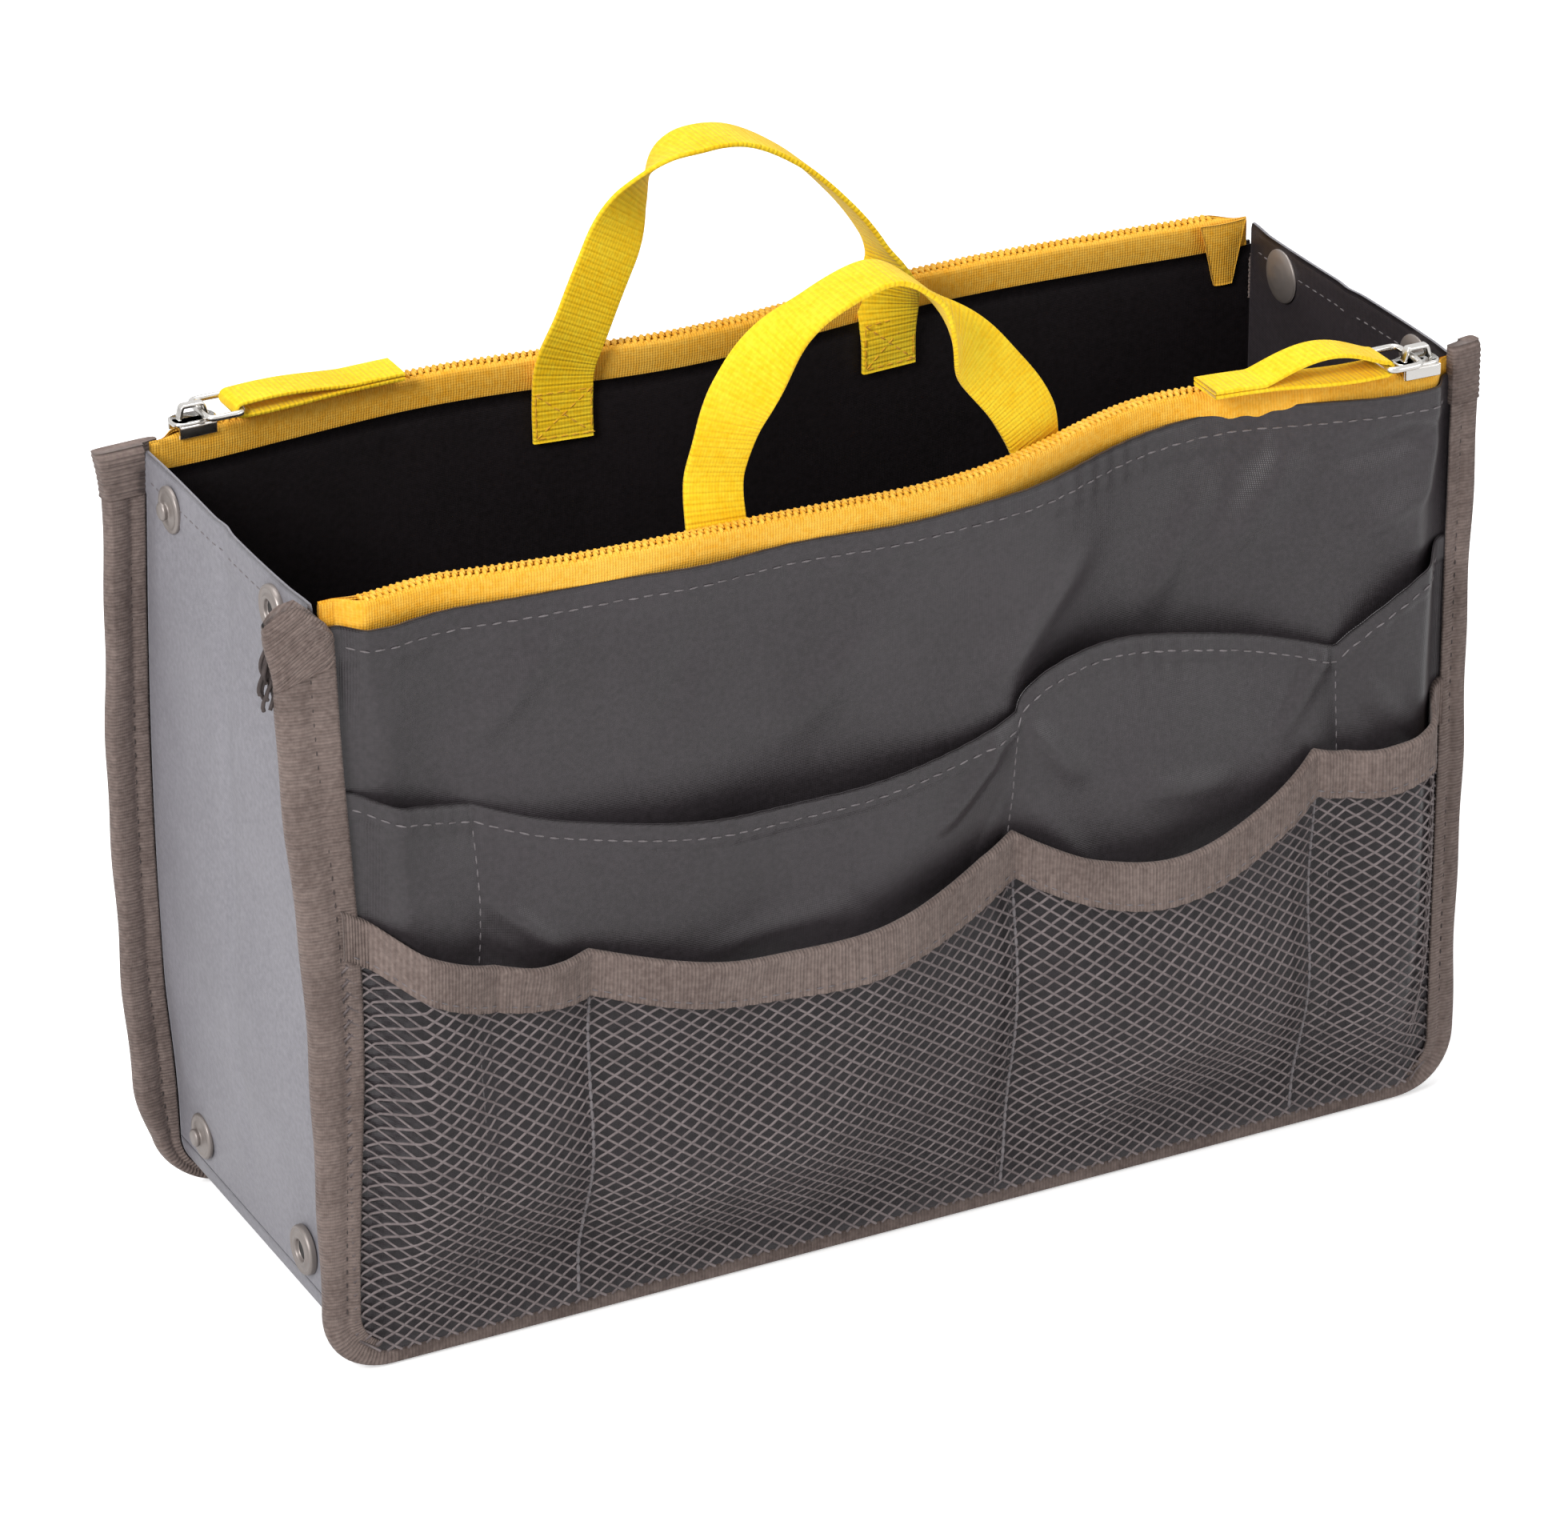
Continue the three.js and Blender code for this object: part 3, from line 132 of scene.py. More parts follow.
def node(tree, kind, **inputs):
    """Outputs of a new shader node; keywords are inputs by name or as i0 by number, or attributes as a_name."""
    made = tree.nodes.new("ShaderNode" + kind)
    for key, value in inputs.items():
        if key.startswith("a_"):
            setattr(made, key[2:], value)
            continue
        socket = made.inputs[int(key[1:]) if key[1:].isdigit() else key.replace("_", " ")]
        if isinstance(value, bpy.types.NodeSocket):
            tree.links.new(value, socket)
        else:
            socket.default_value = value
    return made.outputs


def new_material(name, **values):
    """A material, its node tree and its shader, with the shader's inputs set."""
    made = bpy.data.materials.new(name)
    made.use_nodes = True
    shader = made.node_tree.nodes["Principled BSDF"]
    for key, value in values.items():
        shader.inputs[key.replace("_", " ")].default_value = value
    return made, made.node_tree, shader


def woven(name, dark, light, rib=None, weave=0.0004, rough=0.6, sheen=0.0, mottle=22.0, gloss=0.5):
    """Woven cloth: colour varies with soft noise, thread bumps cross each other, and ribs run along v, with painted
    shade darkening the colour between them.

    weave is the threads' pitch and rib the ribs' pitch, depth and darkest painted shade, in metres of u and v.
    """
    made, tree, shader = new_material(
        name, Roughness=rough, Specular_IOR_Level=gloss, Sheen_Weight=sheen, Sheen_Roughness=0.4
    )
    at = node(tree, "TexCoord")
    noise = node(tree, "TexNoise", Vector=at["Object"], Scale=mottle, Detail=5.0, Roughness=0.6)
    fine = node(tree, "TexNoise", Vector=at["Object"], Scale=900.0, Detail=2.0)
    both = node(tree, "Math", i0=noise["Fac"], i1=fine["Fac"])
    half = node(tree, "Math", a_operation="MULTIPLY", i0=both[0], i1=0.5)
    share = node(tree, "MapRange", Value=half[0], From_Min=0.38, From_Max=0.62)
    colour = node(tree, "Mix", a_data_type="RGBA", i0=share[0], i6=linear(dark), i7=linear(light))

    def waves(pitch, way):
        scale = 0.314 / pitch
        return node(tree, "TexWave", Vector=at["UV"], Scale=scale, a_bands_direction=way)["Fac"]

    thread = node(tree, "Math", i0=waves(weave, "X"), i1=waves(weave, "Y"))
    bump = node(tree, "Bump", Strength=0.25, Distance=weave * 0.25, Height=thread[0])
    if rib:
        pitch, depth, darkest = rib
        ribs = waves(pitch, "X")
        bump = node(tree, "Bump", Strength=0.9, Distance=depth, Height=ribs, Normal=bump[0])
        # painted shade: the colour darkens towards each rib's groove, down to the darkest share
        shade = node(tree, "MapRange", Value=ribs, To_Min=darkest, To_Max=1.0)[0]
        plain_colour = colour[2]
        colour = node(
            tree, "Mix", a_data_type="RGBA", a_blend_type="MULTIPLY", i0=1.0, i6=plain_colour, i7=shade
        )
    tree.links.new(colour[2], shader.inputs["Base Color"])
    tree.links.new(bump[0], shader.inputs["Normal"])
    return made


def plated(name, code, rough, metal=1.0):
    """Plated metal with faint uneven wear in its roughness."""
    made, tree, shader = new_material(name, Base_Color=linear(code), Metallic=metal)
    at = node(tree, "TexCoord")["Object"]
    noise = node(tree, "TexNoise", Vector=at, Scale=260.0, Detail=4.0)["Fac"]
    wear = node(tree, "MapRange", Value=noise, To_Min=rough * 0.7, To_Max=rough * 1.4)
    tree.links.new(wear[0], shader.inputs["Roughness"])
    return made


NYLON = woven("nylon_taffeta", "#2E2A2C", "#3A3538", rough=0.33, gloss=0.42)
# Wall lining: near black, darker than the dark nylon, with painted shade for the shaded inside of the walls.
WALL_LINING_PAINTED_SHADE = woven("nylon_lining_painted_shade", "#151213", "#1E1A1C", rough=0.5, gloss=0.12)
# Outer face of the ends and base: a light grey that paints strong light and sheen onto the dark nylon of their inner
# face.
END_NYLON_PAINTED_LIGHT = woven("grey_nylon_painted_sheen", "#77757B", "#86848A", rough=0.45, gloss=0.3)
GROSGRAIN = woven(
    "grosgrain_tape", "#6A5C57", "#84756F", rib=(0.00075, 0.00016, 0.8), weave=0.0006, rough=0.9,
    sheen=0.1, mottle=60.0, gloss=0.2,
)
NET = woven("knitted_net", "#6A6161", "#817777", weave=0.0003, rough=0.8, mottle=200.0, gloss=0.2)
ZIP_CLOTH = woven(
    "zip_tape", "#F2AC2B", "#FBC24C", rib=(0.0006, 0.00006, 0.9), weave=0.0006, rough=0.8, sheen=0.05,
    gloss=0.2,
)
COIL = woven("nylon_coil", "#E5A426", "#F5C24A", weave=0.0005, rough=0.5, mottle=300.0, gloss=0.3)
WEBBING = woven(
    "woven_webbing", "#FBC812", "#FFDB2E", rib=(0.0011, 0.0001, 0.9), weave=0.0007, rough=0.85,
    sheen=0.1, mottle=80.0, gloss=0.25,
)
THREAD = woven("sewing_thread", "#5F595B", "#787274", weave=0.0003, rough=0.7, mottle=300.0)
# Dark thread: the loose threads' colour, and painted shade of the needle holes where the binding's stitches sit.
DARK_THREAD_AND_HOLE_SHADE = woven("dark_thread_and_hole_shade", "#352D2C", "#463C3A", weave=0.0003, rough=0.8, mottle=300.0)
YELLOW_THREAD = woven(
    "yellow_thread", "#D99A12", "#EDB724", weave=0.0003, rough=0.7, sheen=0.3, mottle=300.0
)
NICKEL = plated("bright_nickel", "#D2CFCB", 0.24)
PEWTER = plated("dull_plating", "#8A827E", 0.42, metal=0.6)
# Painted shade: the spring inside a socket's mouth, darkened because it sits in shade.
SOCKET_MOUTH_PAINTED_SHADE = plated("spring_in_shade", "#2B2827", 0.6, metal=0.3)


# ---- meshes


def joined(*values):
    """Values broadcast together and stacked along a last axis."""
    return stack(np.broadcast_arrays(*values), -1)


def way(line):
    """How far along a line each of its points is."""
    return concatenate([[0], np.cumsum(np.linalg.norm(np.diff(line, axis=0), axis=1))])


def unit(v):
    """Directions of length 1."""
    return v / maximum(np.linalg.norm(v, axis=-1, keepdims=True), 1e-12)


def ahead_of(path):
    """Unit directions along a line of points."""
    return unit(np.gradient(path, axis=0))


def circle(count):
    """Cosines and sines of evenly spaced angles."""
    t = arange(count) / count * 2 * pi
    return cos(t), sin(t)


def signed(v, power):
    """A power that keeps the sign, to square a circle's cosine or sine."""
    return np.sign(v) * np.abs(v) ** power


def add_object(name, data):
    """Adds an object to the scene."""
    made = bpy.data.objects.new(name, data)
    scene.collection.objects.link(made)
    return made


def make(name, parts, material, body=None, replaced=(), lining=None):
    """One object from parts of (points in row-frame metres, face blocks, uv in metres).

    lining is the material of the faces that use the first half of the points: a sheet's inner side.
    """
    points, faces, uvs, start = [], [], [], 0
    for grid, blocks, uv in parts:
        points.append(grid.reshape(-1, 3))
        uvs.append(uv.reshape(-1, 2))
        for block in blocks:
            faces.extend((block + start).tolist())
        start += len(points[-1])
    points, uvs = concatenate(points), concatenate(uvs)
    mesh = bpy.data.meshes.new(name)
    mesh.from_pydata(points.tolist(), [], faces)
    uv_layer = mesh.uv_layers.new(name="UVMap")
    corner = np.empty(len(mesh.loops), int)
    mesh.loops.foreach_get("vertex_index", corner)
    uv_layer.data.foreach_set("uv", uvs[corner].ravel())
    mesh.shade_smooth()
    mesh.materials.append(material)
    if lining:
        mesh.materials.append(lining)
        inside = [int(max(face) < len(points) / 2) for face in faces]
        mesh.polygons.foreach_set("material_index", inside)
    mesh.update()
    made = add_object(name, mesh)
    if body:
        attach(made, body)
    if replaced:
        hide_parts(*replaced)
    return made


def quads(rows, columns, wrap_rows=False, wrap_columns=False):
    """Quad faces of a grid of rows by columns of points."""
    r = arange(rows if wrap_rows else rows - 1)
    c = arange(columns if wrap_columns else columns - 1)
    r, c = np.meshgrid(r, c, indexing="ij")
    r1, c1 = (r + 1) % rows, (c + 1) % columns
    return stack([r * columns + c, r1 * columns + c, r1 * columns + c1, r * columns + c1], -1).reshape(-1, 4)


def sheet_part(inner, outer, uv):
    """A closed sheet from the grids of its two faces."""
    rows, columns = inner.shape[:2]
    ids = arange(rows * columns).reshape(rows, columns)
    rim = concatenate([ids[0, :-1], ids[:-1, -1], ids[-1, :0:-1], ids[:0:-1, 0]])
    after = np.roll(rim, -1)
    edge = stack([rim, after, after + ids.size, rim + ids.size], -1)
    face = quads(rows, columns)
    return stack([inner, outer]), [face[:, ::-1], face + ids.size, edge], stack([uv, uv])


def swept(path, normal, side, section, closed=False):
    """A tube: a section's points (a, b) in mm go to path + a * side + b * normal; fans cap its ends."""
    normal, side = np.broadcast_to(normal, path.shape), np.broadcast_to(side, path.shape)
    section = section * MM
    points = path[:, None] + section[:, :1] * side[:, None] + section[:, 1:] * normal[:, None]
    rows, columns = points.shape[:2]
    faces = [quads(rows, columns, wrap_rows=closed, wrap_columns=True)]
    if not closed:
        k = arange(1, columns - 1)
        cap = joined(0, k, k + 1)
        faces += [cap[:, [0, 2, 1]], cap + (rows - 1) * columns]
    return [(points, faces, joined(way(path)[:, None], way(section)))]


def tube(points, uv):
    """A grid that closes round its columns, with a flat face on each end."""
    rows, columns = points.shape[:2]
    rim = arange(columns)[None]
    return [(points, [quads(rows, columns, wrap_columns=True), rim[:, ::-1], rim + (rows - 1) * columns], uv)]


def oval(half_a, half_b, power=2.0, count=12):
    """Points of a superellipse, in mm."""
    c, s = circle(count)
    return stack([half_a * signed(c, 2 / power), half_b * signed(s, 2 / power)], -1)


BEAD_ROWS, BEAD_COLUMNS = 5, 6
bead_t = linspace(0, pi, BEAD_ROWS)[:, None]
bead_c, bead_s = circle(BEAD_COLUMNS)
BEAD = joined(cos(bead_t), sin(bead_t) * bead_c, sin(bead_t) * bead_s).reshape(-1, 3)
BEAD_FACES = quads(BEAD_ROWS, BEAD_COLUMNS, wrap_columns=True)


def beads(centres, along, side, normal, size):
    """Ellipsoids of a size in mm, one at each centre: stitches, and a zip's coils."""
    axes = stack([np.broadcast_to(v, centres.shape) for v in (along, side, normal)], 1)
    points = centres[:, None] + (BEAD * array(size) * MM / 2) @ axes
    faces = BEAD_FACES + (arange(len(centres)) * len(BEAD))[:, None, None]
    return points, [faces.reshape(-1, 4)], np.tile(BEAD[:, :2] * MM, (len(centres), 1))


# ---- walls


def ramp(distance, run):
    """Rises smoothly from 0 to 1 over a run."""
    s = clip(np.asarray(distance, float) / run, 0, 1)
    return s * s * (3 - 2 * s)


def place(side, x, out, z):
    """Row-frame metres of a wall's own millimetres; the back wall is turned by half a turn."""
    if side == "front":
        return joined(x * MM, FRONT_Y - out * MM, z * MM)
    return joined(-x * MM, BACK_Y + out * MM, z * MM)


def turn(side, v):
    """Row-frame direction of a direction (x, out, z)."""
    return np.asarray(v, float) * ([1, -1, 1] if side == "front" else [-1, 1, 1])


SWAYS = {
    "front": [(5.0, 0, 32), (3.0, -58, 34), (-3.0, -112, 22), (-12.5, 65, 32)],
    "back": [(3.5, -62, 40), (-3.0, 5, 30), (4.0, 68, 34)],
}


def sway(side, x, z):
    """How far a wall's cloth stands out of its plane: bell curves along its top, none at its foot."""
    total = sum(size * exp(-(((x - centre) / width) ** 2)) for size, centre, width in SWAYS[side])
    ends = 1 - ramp(np.abs(x) - 100, 24)
    return total * ends * clip((z - 12) / 163, 0, 1) ** 1.6


def folds(side, x, z, size):
    """Soft creases: crossed waves of uneven length, a fixed pattern for each wall."""
    shift = 0.0 if side == "front" else 40.0
    a = sin(x * 0.061 + z * 0.035 + shift) * sin(z * 0.083 - x * 0.017 + 1.3 + shift)
    b = sin(x * 0.143 - z * 0.052 + 2.1 + shift) * sin(z * 0.031 + x * 0.023)
    c = sin(x * 0.022 + z * 0.117 + 0.6) * sin(x * 0.09 + shift)
    inside = ramp(POCKET_HALF - np.abs(x), 14) * ramp(z - POCKET_LOW, 14)
    return size * (a + 0.55 * b + 0.35 * c) * inside


Pocket = namedtuple("Pocket", "seams ends sags powers")


def pocket_lines(seams, ends, sags, powers):
    """A pocket: seams as shares of its half length, the mouth's heights and sags as shares of the wall's."""
    return Pocket(array(seams) * POCKET_HALF, array(ends) * HEIGHT, array(sags) * HEIGHT, array(powers))


FRONT_CLOTH = pocket_lines(
    [-1, -0.79, 0.16, 0.78, 1], [0.76, 0.72, 0.69, 0.663, 0.766], [0, 0.057, -0.058, -0.02], [1, 1, 0.6, 1]
)
FRONT_NET = pocket_lines(
    [-1, -0.62, 0.16, 0.72, 1], [0.611, 0.526, 0.531, 0.549, 0.577], [0.025, 0.043, 0.069, 0.023], [1] * 4
)
BACK_CLOTH = pocket_lines([-1, -0.34, 0.34, 1], [0.72, 0.7, 0.7, 0.72], [0.03, 0.035, 0.03], [1] * 3)


def cell_of(pocket, x):
    """A place's cell, its share of the way across it, and the cell's width."""
    cell = clip(np.searchsorted(pocket.seams, x) - 1, 0, len(pocket.seams) - 2)
    width = np.diff(pocket.seams)[cell]
    return cell, clip((x - pocket.seams[cell]) / width, 0, 1), width


def mouth(pocket, x):
    """Height of a mouth: straight from seam to seam, less a sag, a parabola of a power of the share."""
    cell, share, _ = cell_of(pocket, x)
    skewed = share ** pocket.powers[cell]
    start, stop = pocket.ends[cell], pocket.ends[cell + 1]
    return start + (stop - start) * share - pocket.sags[cell] * 4 * skewed * (1 - skewed)


def bulge(pocket, x, z):
    """How far a cell stands away from what is behind it."""
    _, share, width = cell_of(pocket, x)
    across = 1 - np.abs(2 * share - 1) ** 2.2
    return minimum(5.5, width * 0.11) * across * ramp(z - POCKET_LOW, (mouth(pocket, x) - POCKET_LOW) * 0.4)


# ends (x, z) of each drag fold's line, its size and its width
DRAGS = {
    "panel": [
        (72, 138, 92, 164, 2.6, 4.8), (99, 157, 127, 161, -1.4, 2.4), (56, 130, 74, 158, 1.5, 3.8),
        (14, 126, 44, 152, 1.6, 4.2), (-34, 124, -8, 152, 1.2, 5.0), (-100, 136, -80, 161, 1.5, 3.6),
        (100, 140, 126, 149, 1.2, 3.0), (-62, 128, -52, 156, -1.0, 4.0),
    ],
    "pocket": [
        (19, 119, 0, 96, 1.8, 2.8), (19, 111, 2, 80, -1.2, 3.0), (21, 118, 38, 100, 1.7, 2.8),
        (21, 104, 40, 76, 1.3, 3.6), (-99, 107, -82, 90, 1.5, 2.8), (-99, 100, -78, 76, 1.1, 3.2),
        (98, 117, 82, 98, 1.5, 2.8), (100, 112, 118, 90, 1.3, 3.2), (-60, 84, -20, 88, 0.9, 3.6),
        (48, 96, 74, 92, 0.9, 3.2),
    ],
}


def drags(kind, x, z):
    """Drag folds: each a bell across the line between its two ends, fading towards them."""
    total = 0.0
    for x0, z0, x1, z1, size, width in DRAGS[kind]:
        long = np.hypot(x1 - x0, z1 - z0)
        u, v = (x1 - x0) / long, (z1 - z0) / long
        share = ((x - x0) * u + (z - z0) * v) / long
        away = (x - x0) * v - (z - z0) * u
        total = total + size * exp(-((away / width) ** 2)) * exp(-(((share - 0.5) / 0.42) ** 4))
    return total


def puckers(x, above, size, pitch):
    """Gathers along a row of stitches: a wave that dies out away from it."""
    return size * sin(2 * pi * x / pitch + 1.7 * sin(x * 0.13)) * exp(-((above / 5) ** 2))


def fin_lap(side, end, z):
    """How far a binding reaches over its wall from the seam: a bell wider at the front's left."""
    return LAP + (0.4 + 3.4 * exp(-(((z - 85) / 48) ** 2))) * (side == "front") * (end < 0)


def edge_room(side, x, z):
    """How far a place on a wall is from the binding's lap."""
    return HALF - fin_lap(side, where(x > 0, 1, -1), z) - 0.5 - np.abs(x)


def panel_top(side, x):
    """Height of the outer layer's top hem; at the front's right it comes closer to the zip."""
    return PANEL_TOP + (1.2 + 1.8 * ramp(x - 45, 70) if side == "front" else 0.4 + 0 * x)


def panel_out(side, x, z):
    """Inner face of the outer layer, over the zipped pocket."""
    room = edge_room(side, x, z)
    full = POCKET_DEPTH * ramp(room, 9.5 - 4 * ramp(z - 138, 20)) * ramp(z - POCKET_LOW, 40)
    soft = folds(side, x, z, 1.35) + (drags("panel", x, z) if side == "front" else 0)
    soft = soft + puckers(x, z - panel_top(side, x) + PANEL_SEAM, 0.16, 5.6)
    return OUTER_REST + full + sway(side, x, z) + soft * ramp(room, 9)


def cloth_out(side, pocket, x, z):
    """Inner face of a cloth pocket's layer."""
    soft = folds(side, x + 31, z * 0.9, 0.85) + puckers(x, z - mouth(pocket, x) + POCKET_SEAM, 0.14, 4.7)
    if side == "front":
        soft = soft + maximum(drags("pocket", x, z), -0.35)
    loose = 0.6 + bulge(pocket, x, z) + maximum(soft, -0.5)
    return panel_out(side, x, z) + 0.72 + loose * ramp(edge_room(side, x, z), 8)


def net_out(x, z):
    """Inner side of the net."""
    loose = (1.6 + bulge(FRONT_NET, x, z)) * ramp(edge_room("front", x, z), 8)
    return cloth_out("front", FRONT_CLOTH, x, z) + 0.68 + loose


def foot_line(x, stand):
    """Height of a wall's edge, which stands off the seam and rounds the corners."""
    far = maximum(np.abs(x) - (HALF - CORNER), 0)
    return FOOT + CORNER - np.sqrt(maximum((CORNER + stand) ** 2 - far**2, 0))


def facing(side, surface, x, z):
    """Outward directions of out = surface(x, z), in the row frame."""
    e = 0.4
    dx = (surface(x + e, z) - surface(x - e, z)) / (2 * e)
    dz = (surface(x, z + e) - surface(x, z - e)) / (2 * e)
    return unit(turn(side, joined(-dx, 1.0, -dz)))


def layer(side, surface, stand, top, thick, columns=260, rows=120, hem=0.0):
    """A wall's layer: a grid from its foot line to its top, with a doubled hem along the top."""
    reach = HALF + stand - 0.02
    x = linspace(-reach, reach, columns)[:, None]
    low, high = foot_line(x, stand), top(x)
    z = low + (high - low) * linspace(0, 1, rows)
    x = np.broadcast_to(x, z.shape)
    inner = surface(x, z)
    doubled = HEM_RISE * ramp(hem + 0.6 - (high - z), 0.6) if hem else 0.0
    rolled = thick * 0.35 * ramp(1.0 - (high - z), 1.0)
    outer = inner + thick + doubled
    return sheet_part(place(side, x, inner + rolled, z), place(side, x, outer - rolled, z), joined(x, z) * MM)


def stitches(side, surface, x, z, pitch=3.2, length=2.3, width=0.45):
    """Stitches at an even pitch along the line (x, z) on a surface."""
    run = way(place(side, x, surface(x, z), z)) / MM
    at = arange(pitch / 2, run[-1], pitch)

    def spot(share):
        xs, zs = np.interp(share, run, x), np.interp(share, run, z)
        return xs, zs, place(side, xs, surface(xs, zs) + 0.05, zs)

    xs, zs, centre = spot(at)
    along = unit(spot(at + 0.5)[2] - spot(at - 0.5)[2])
    normal = facing(side, surface, xs, zs)
    return beads(centre, along, unit(cross(normal, along)), normal, (length, width, width * 0.8))


def fin_angle(side, end, z):
    """Angle by which a binding's fin is folded back, in radians, at each height."""
    if side == "back":
        return np.radians(where(end > 0, 4, 76) + 3 * sin(z * 0.05 + end))
    return np.radians(where(end > 0, 9, 12) + 3 * sin(z * 0.045))


def seam_bow(side, end, z):
    """How far a seam bows out sideways: half a sine wave up the back's end, as its cloth does."""
    rise = sin(pi * clip(z / HEIGHT, 0, 1)) * ramp(z - END_LOW, 40)
    return END_BOW * rise * (side == "back") * (end > 0)


def fin_cut(side, end, z):
    """How much narrower a fin is than its full width, at each height."""
    if side == "front":
        return where(end > 0, 5.2, 1.3 + 4.5 * ramp(160 - z, 110))
    return 0.2 + 6.0 * ramp(28 - z, 26) * (end > 0)


def on_fin(side, reach, height, along, foot, turned):
    """Point of a binding: reach out from the seam along a direction (x, z), then height off it.

    foot is the seam's (x, z). Past the seam the fin bends back by the angle `turned`, round the end's cloth.
    """
    past = maximum(reach, 0)
    bend = turned * ramp(reach + 1.2, 2.6)
    forward = minimum(reach, 0) + past * cos(turned) + (height + 2.6) * sin(bend)
    out = FIN_MIDDLE[side] + height * cos(bend) - past * sin(turned)
    return place(side, foot[..., 0] + forward * along[..., 0], out, foot[..., 1] + forward * along[..., 1])


def on_end(side, end, reach, height, z):
    """Point of a binding at one of its upright ends."""
    foot = joined(end * (HALF + seam_bow(side, end, z)), z)
    return on_fin(side, reach, height, array([end, 0.0]), foot, fin_angle(side, end, z))


def tape_height(share, stitch):
    """Half the thickness of a folded tape across its width: two swells and a groove at the stitches."""
    before = 2.1 - 0.35 * clip(share / stitch, 0, 1) ** 2
    after = 1.75 + 0.45 * sin(pi * clip((share - stitch) / (1 - stitch), 0, 1))
    groove = 0.22 * exp(-(((share - stitch) / 0.1) ** 2))
    nose = np.sqrt(maximum(1 - clip((share - 0.84) / 0.16, 0, 1) ** 2, 0))
    return (where(share < stitch, before, after) - groove) * nose


def seam_rows(side):
    """Rows of a binding from the right top round to the left: foot, direction, lap, reach, turn, uprightness."""
    angle = linspace(0, pi / 2, 16)
    centre_x, centre_z = HALF - CORNER, FOOT + CORNER
    heights = linspace(HEIGHT - 1.6, centre_z, 110)[:-1]
    span = linspace(centre_x, -centre_x, 100)[1:-1]
    outward = joined(cos(angle), -sin(angle))
    quarter = concatenate([joined(HALF, heights), [centre_x, centre_z] + CORNER * outward])
    away = concatenate([joined(1.0, 0 * heights), outward])
    foot = concatenate([quarter, joined(span, FOOT), quarter[::-1] * [-1, 1]])
    along = concatenate([away, joined(0 * span, -1.0), away[::-1] * [-1, 1]])
    lower = centre_z + (foot[:, 1] - centre_z) * (1 - LEFT_SHORTER[side] / (HEIGHT - centre_z))
    z = foot[:, 1] = where((foot[:, 0] < 0) & (foot[:, 1] > centre_z), lower, foot[:, 1])
    end = np.sign(foot[:, 0])
    sideways = ramp(np.abs(along[:, 0]), 1)
    foot[:, 0] += seam_bow(side, end, z) * sideways
    lap = LAP + (fin_lap(side, end, z) - LAP) * sideways
    above_floor = z / maximum(-along[:, 1], 0.05) - 0.4 * sideways
    reach = minimum(FOOT + (FIN - FOOT - fin_cut(side, end, z)) * sideways, above_floor)
    return foot, along, lap, reach, fin_angle(side, end, z) * sideways**2, sideways


def binding(side):
    """Tape folded over a wall's edge: a thin C swept down one end, round the corners and up again."""
    foot, along, lap, reach, turned, sideways = seam_rows(side)
    run = way(foot)
    share = 1 - (1 - linspace(0, 1, 26)) ** 1.5
    high = tape_height(share, STITCH_SHARE)
    skin = concatenate([share, share[-2::-1]])
    skin_high = concatenate([high, -high[-2::-1]])
    under = skin_high[::-1]
    shares = concatenate([skin, skin[::-1] * 0.95])
    highs = concatenate([skin_high, np.sign(under) * maximum(np.abs(under) - 0.6, 0.06)])
    slack = 0.22 * sin(run * 0.083 + (0 if side == "front" else 2)) + 0.16 * sin(run * 0.21 + 1.1)
    slack, lap, reach, turned, sideways = (v[:, None] for v in (slack * sideways, lap, reach, turned, sideways))
    start = where(highs >= 0, -lap, 0.95 + sin(turned))
    distance = start + (reach + slack - start) * shares
    height = highs * (1 - 0.28 * (1 - sideways)) + 0.35 * slack
    points = on_fin(side, distance, height, along[:, None], foot[:, None], turned)
    rows, columns = distance.shape
    k = arange(len(skin) - 1)
    cap = stack([k, k + 1, columns - 2 - k, columns - 1 - k], -1)
    faces = [quads(rows, columns, wrap_columns=True), cap[:, ::-1], cap + (rows - 1) * columns]
    return points, faces, joined(run[:, None], way(joined(shares * 12, highs))) * MM


def tape_end(side, end):
    """The folded top of a binding: a ribbed sleeve of tape over the fin, askew at the front's left."""
    flared = side == "front" and end < 0
    top = HEIGHT - (LEFT_SHORTER[side] if side == "back" and end < 0 else 0.0)
    section = oval(1, 1, 5, 44)
    across = section[:, 0]
    share = linspace(0, 1, 48)[:, None]
    high, low, flare, slope = top + (1.8 if side == "front" else -0.6), top - 11, 0.0, 0.0
    if flared:
        high = top - 0.4 - 4.5 * maximum(across, 0) ** 2 - 7.5 * maximum(-across, 0) ** 1.6
        low, flare, slope = top - 16 - 2.6 * across, 1.5 * ramp(share - 0.1, 0.7), 0.8
    elif side == "back":
        flare = 2.0 * share**1.5
    z = low + (high - low) * share + 0 * across
    lap = fin_lap(side, end, z) + 0.3
    reach = FIN + 0.12 - fin_cut(side, end, z) + flare
    ribs = 0.13 * sin((z + slope * across * 6) * 2 * pi / 1.3)
    distance = (reach - lap) / 2 + across * ((reach + lap) / 2 + 0.3 * ribs)
    height = section[:, 1] * (2.35 + ribs) * (1 - 0.35 * ramp(share - 0.86, 0.14))
    distance = where(height < -0.1, maximum(distance, 1.2), distance)
    around = arange(len(section)) / len(section) * 28
    return tube(on_end(side, end, distance, height, z), joined(z + slope * across * 6, around) * MM)


def tape_stitches(side, end):
    """Dark stitches in a binding's groove, down one end, on both of its faces; their dark colour is painted shade of
    the needle holes.
    """
    z = arange(HEIGHT - 17, FOOT + CORNER, -3.1)
    parts = []
    for face, start in ((1, -fin_lap(side, end, z)), (-1, 1.1)):
        reach = start + STITCH_SHARE * (FIN - fin_cut(side, end, z) - start)
        centre, beyond = (on_end(side, end, reach, face * height, z) for height in (1.5, 2.5))
        normal = unit(beyond - centre)
        parts.append(beads(centre, UP, unit(cross(normal, UP)), normal, (1.3, 0.45, 0.4)))
    return parts


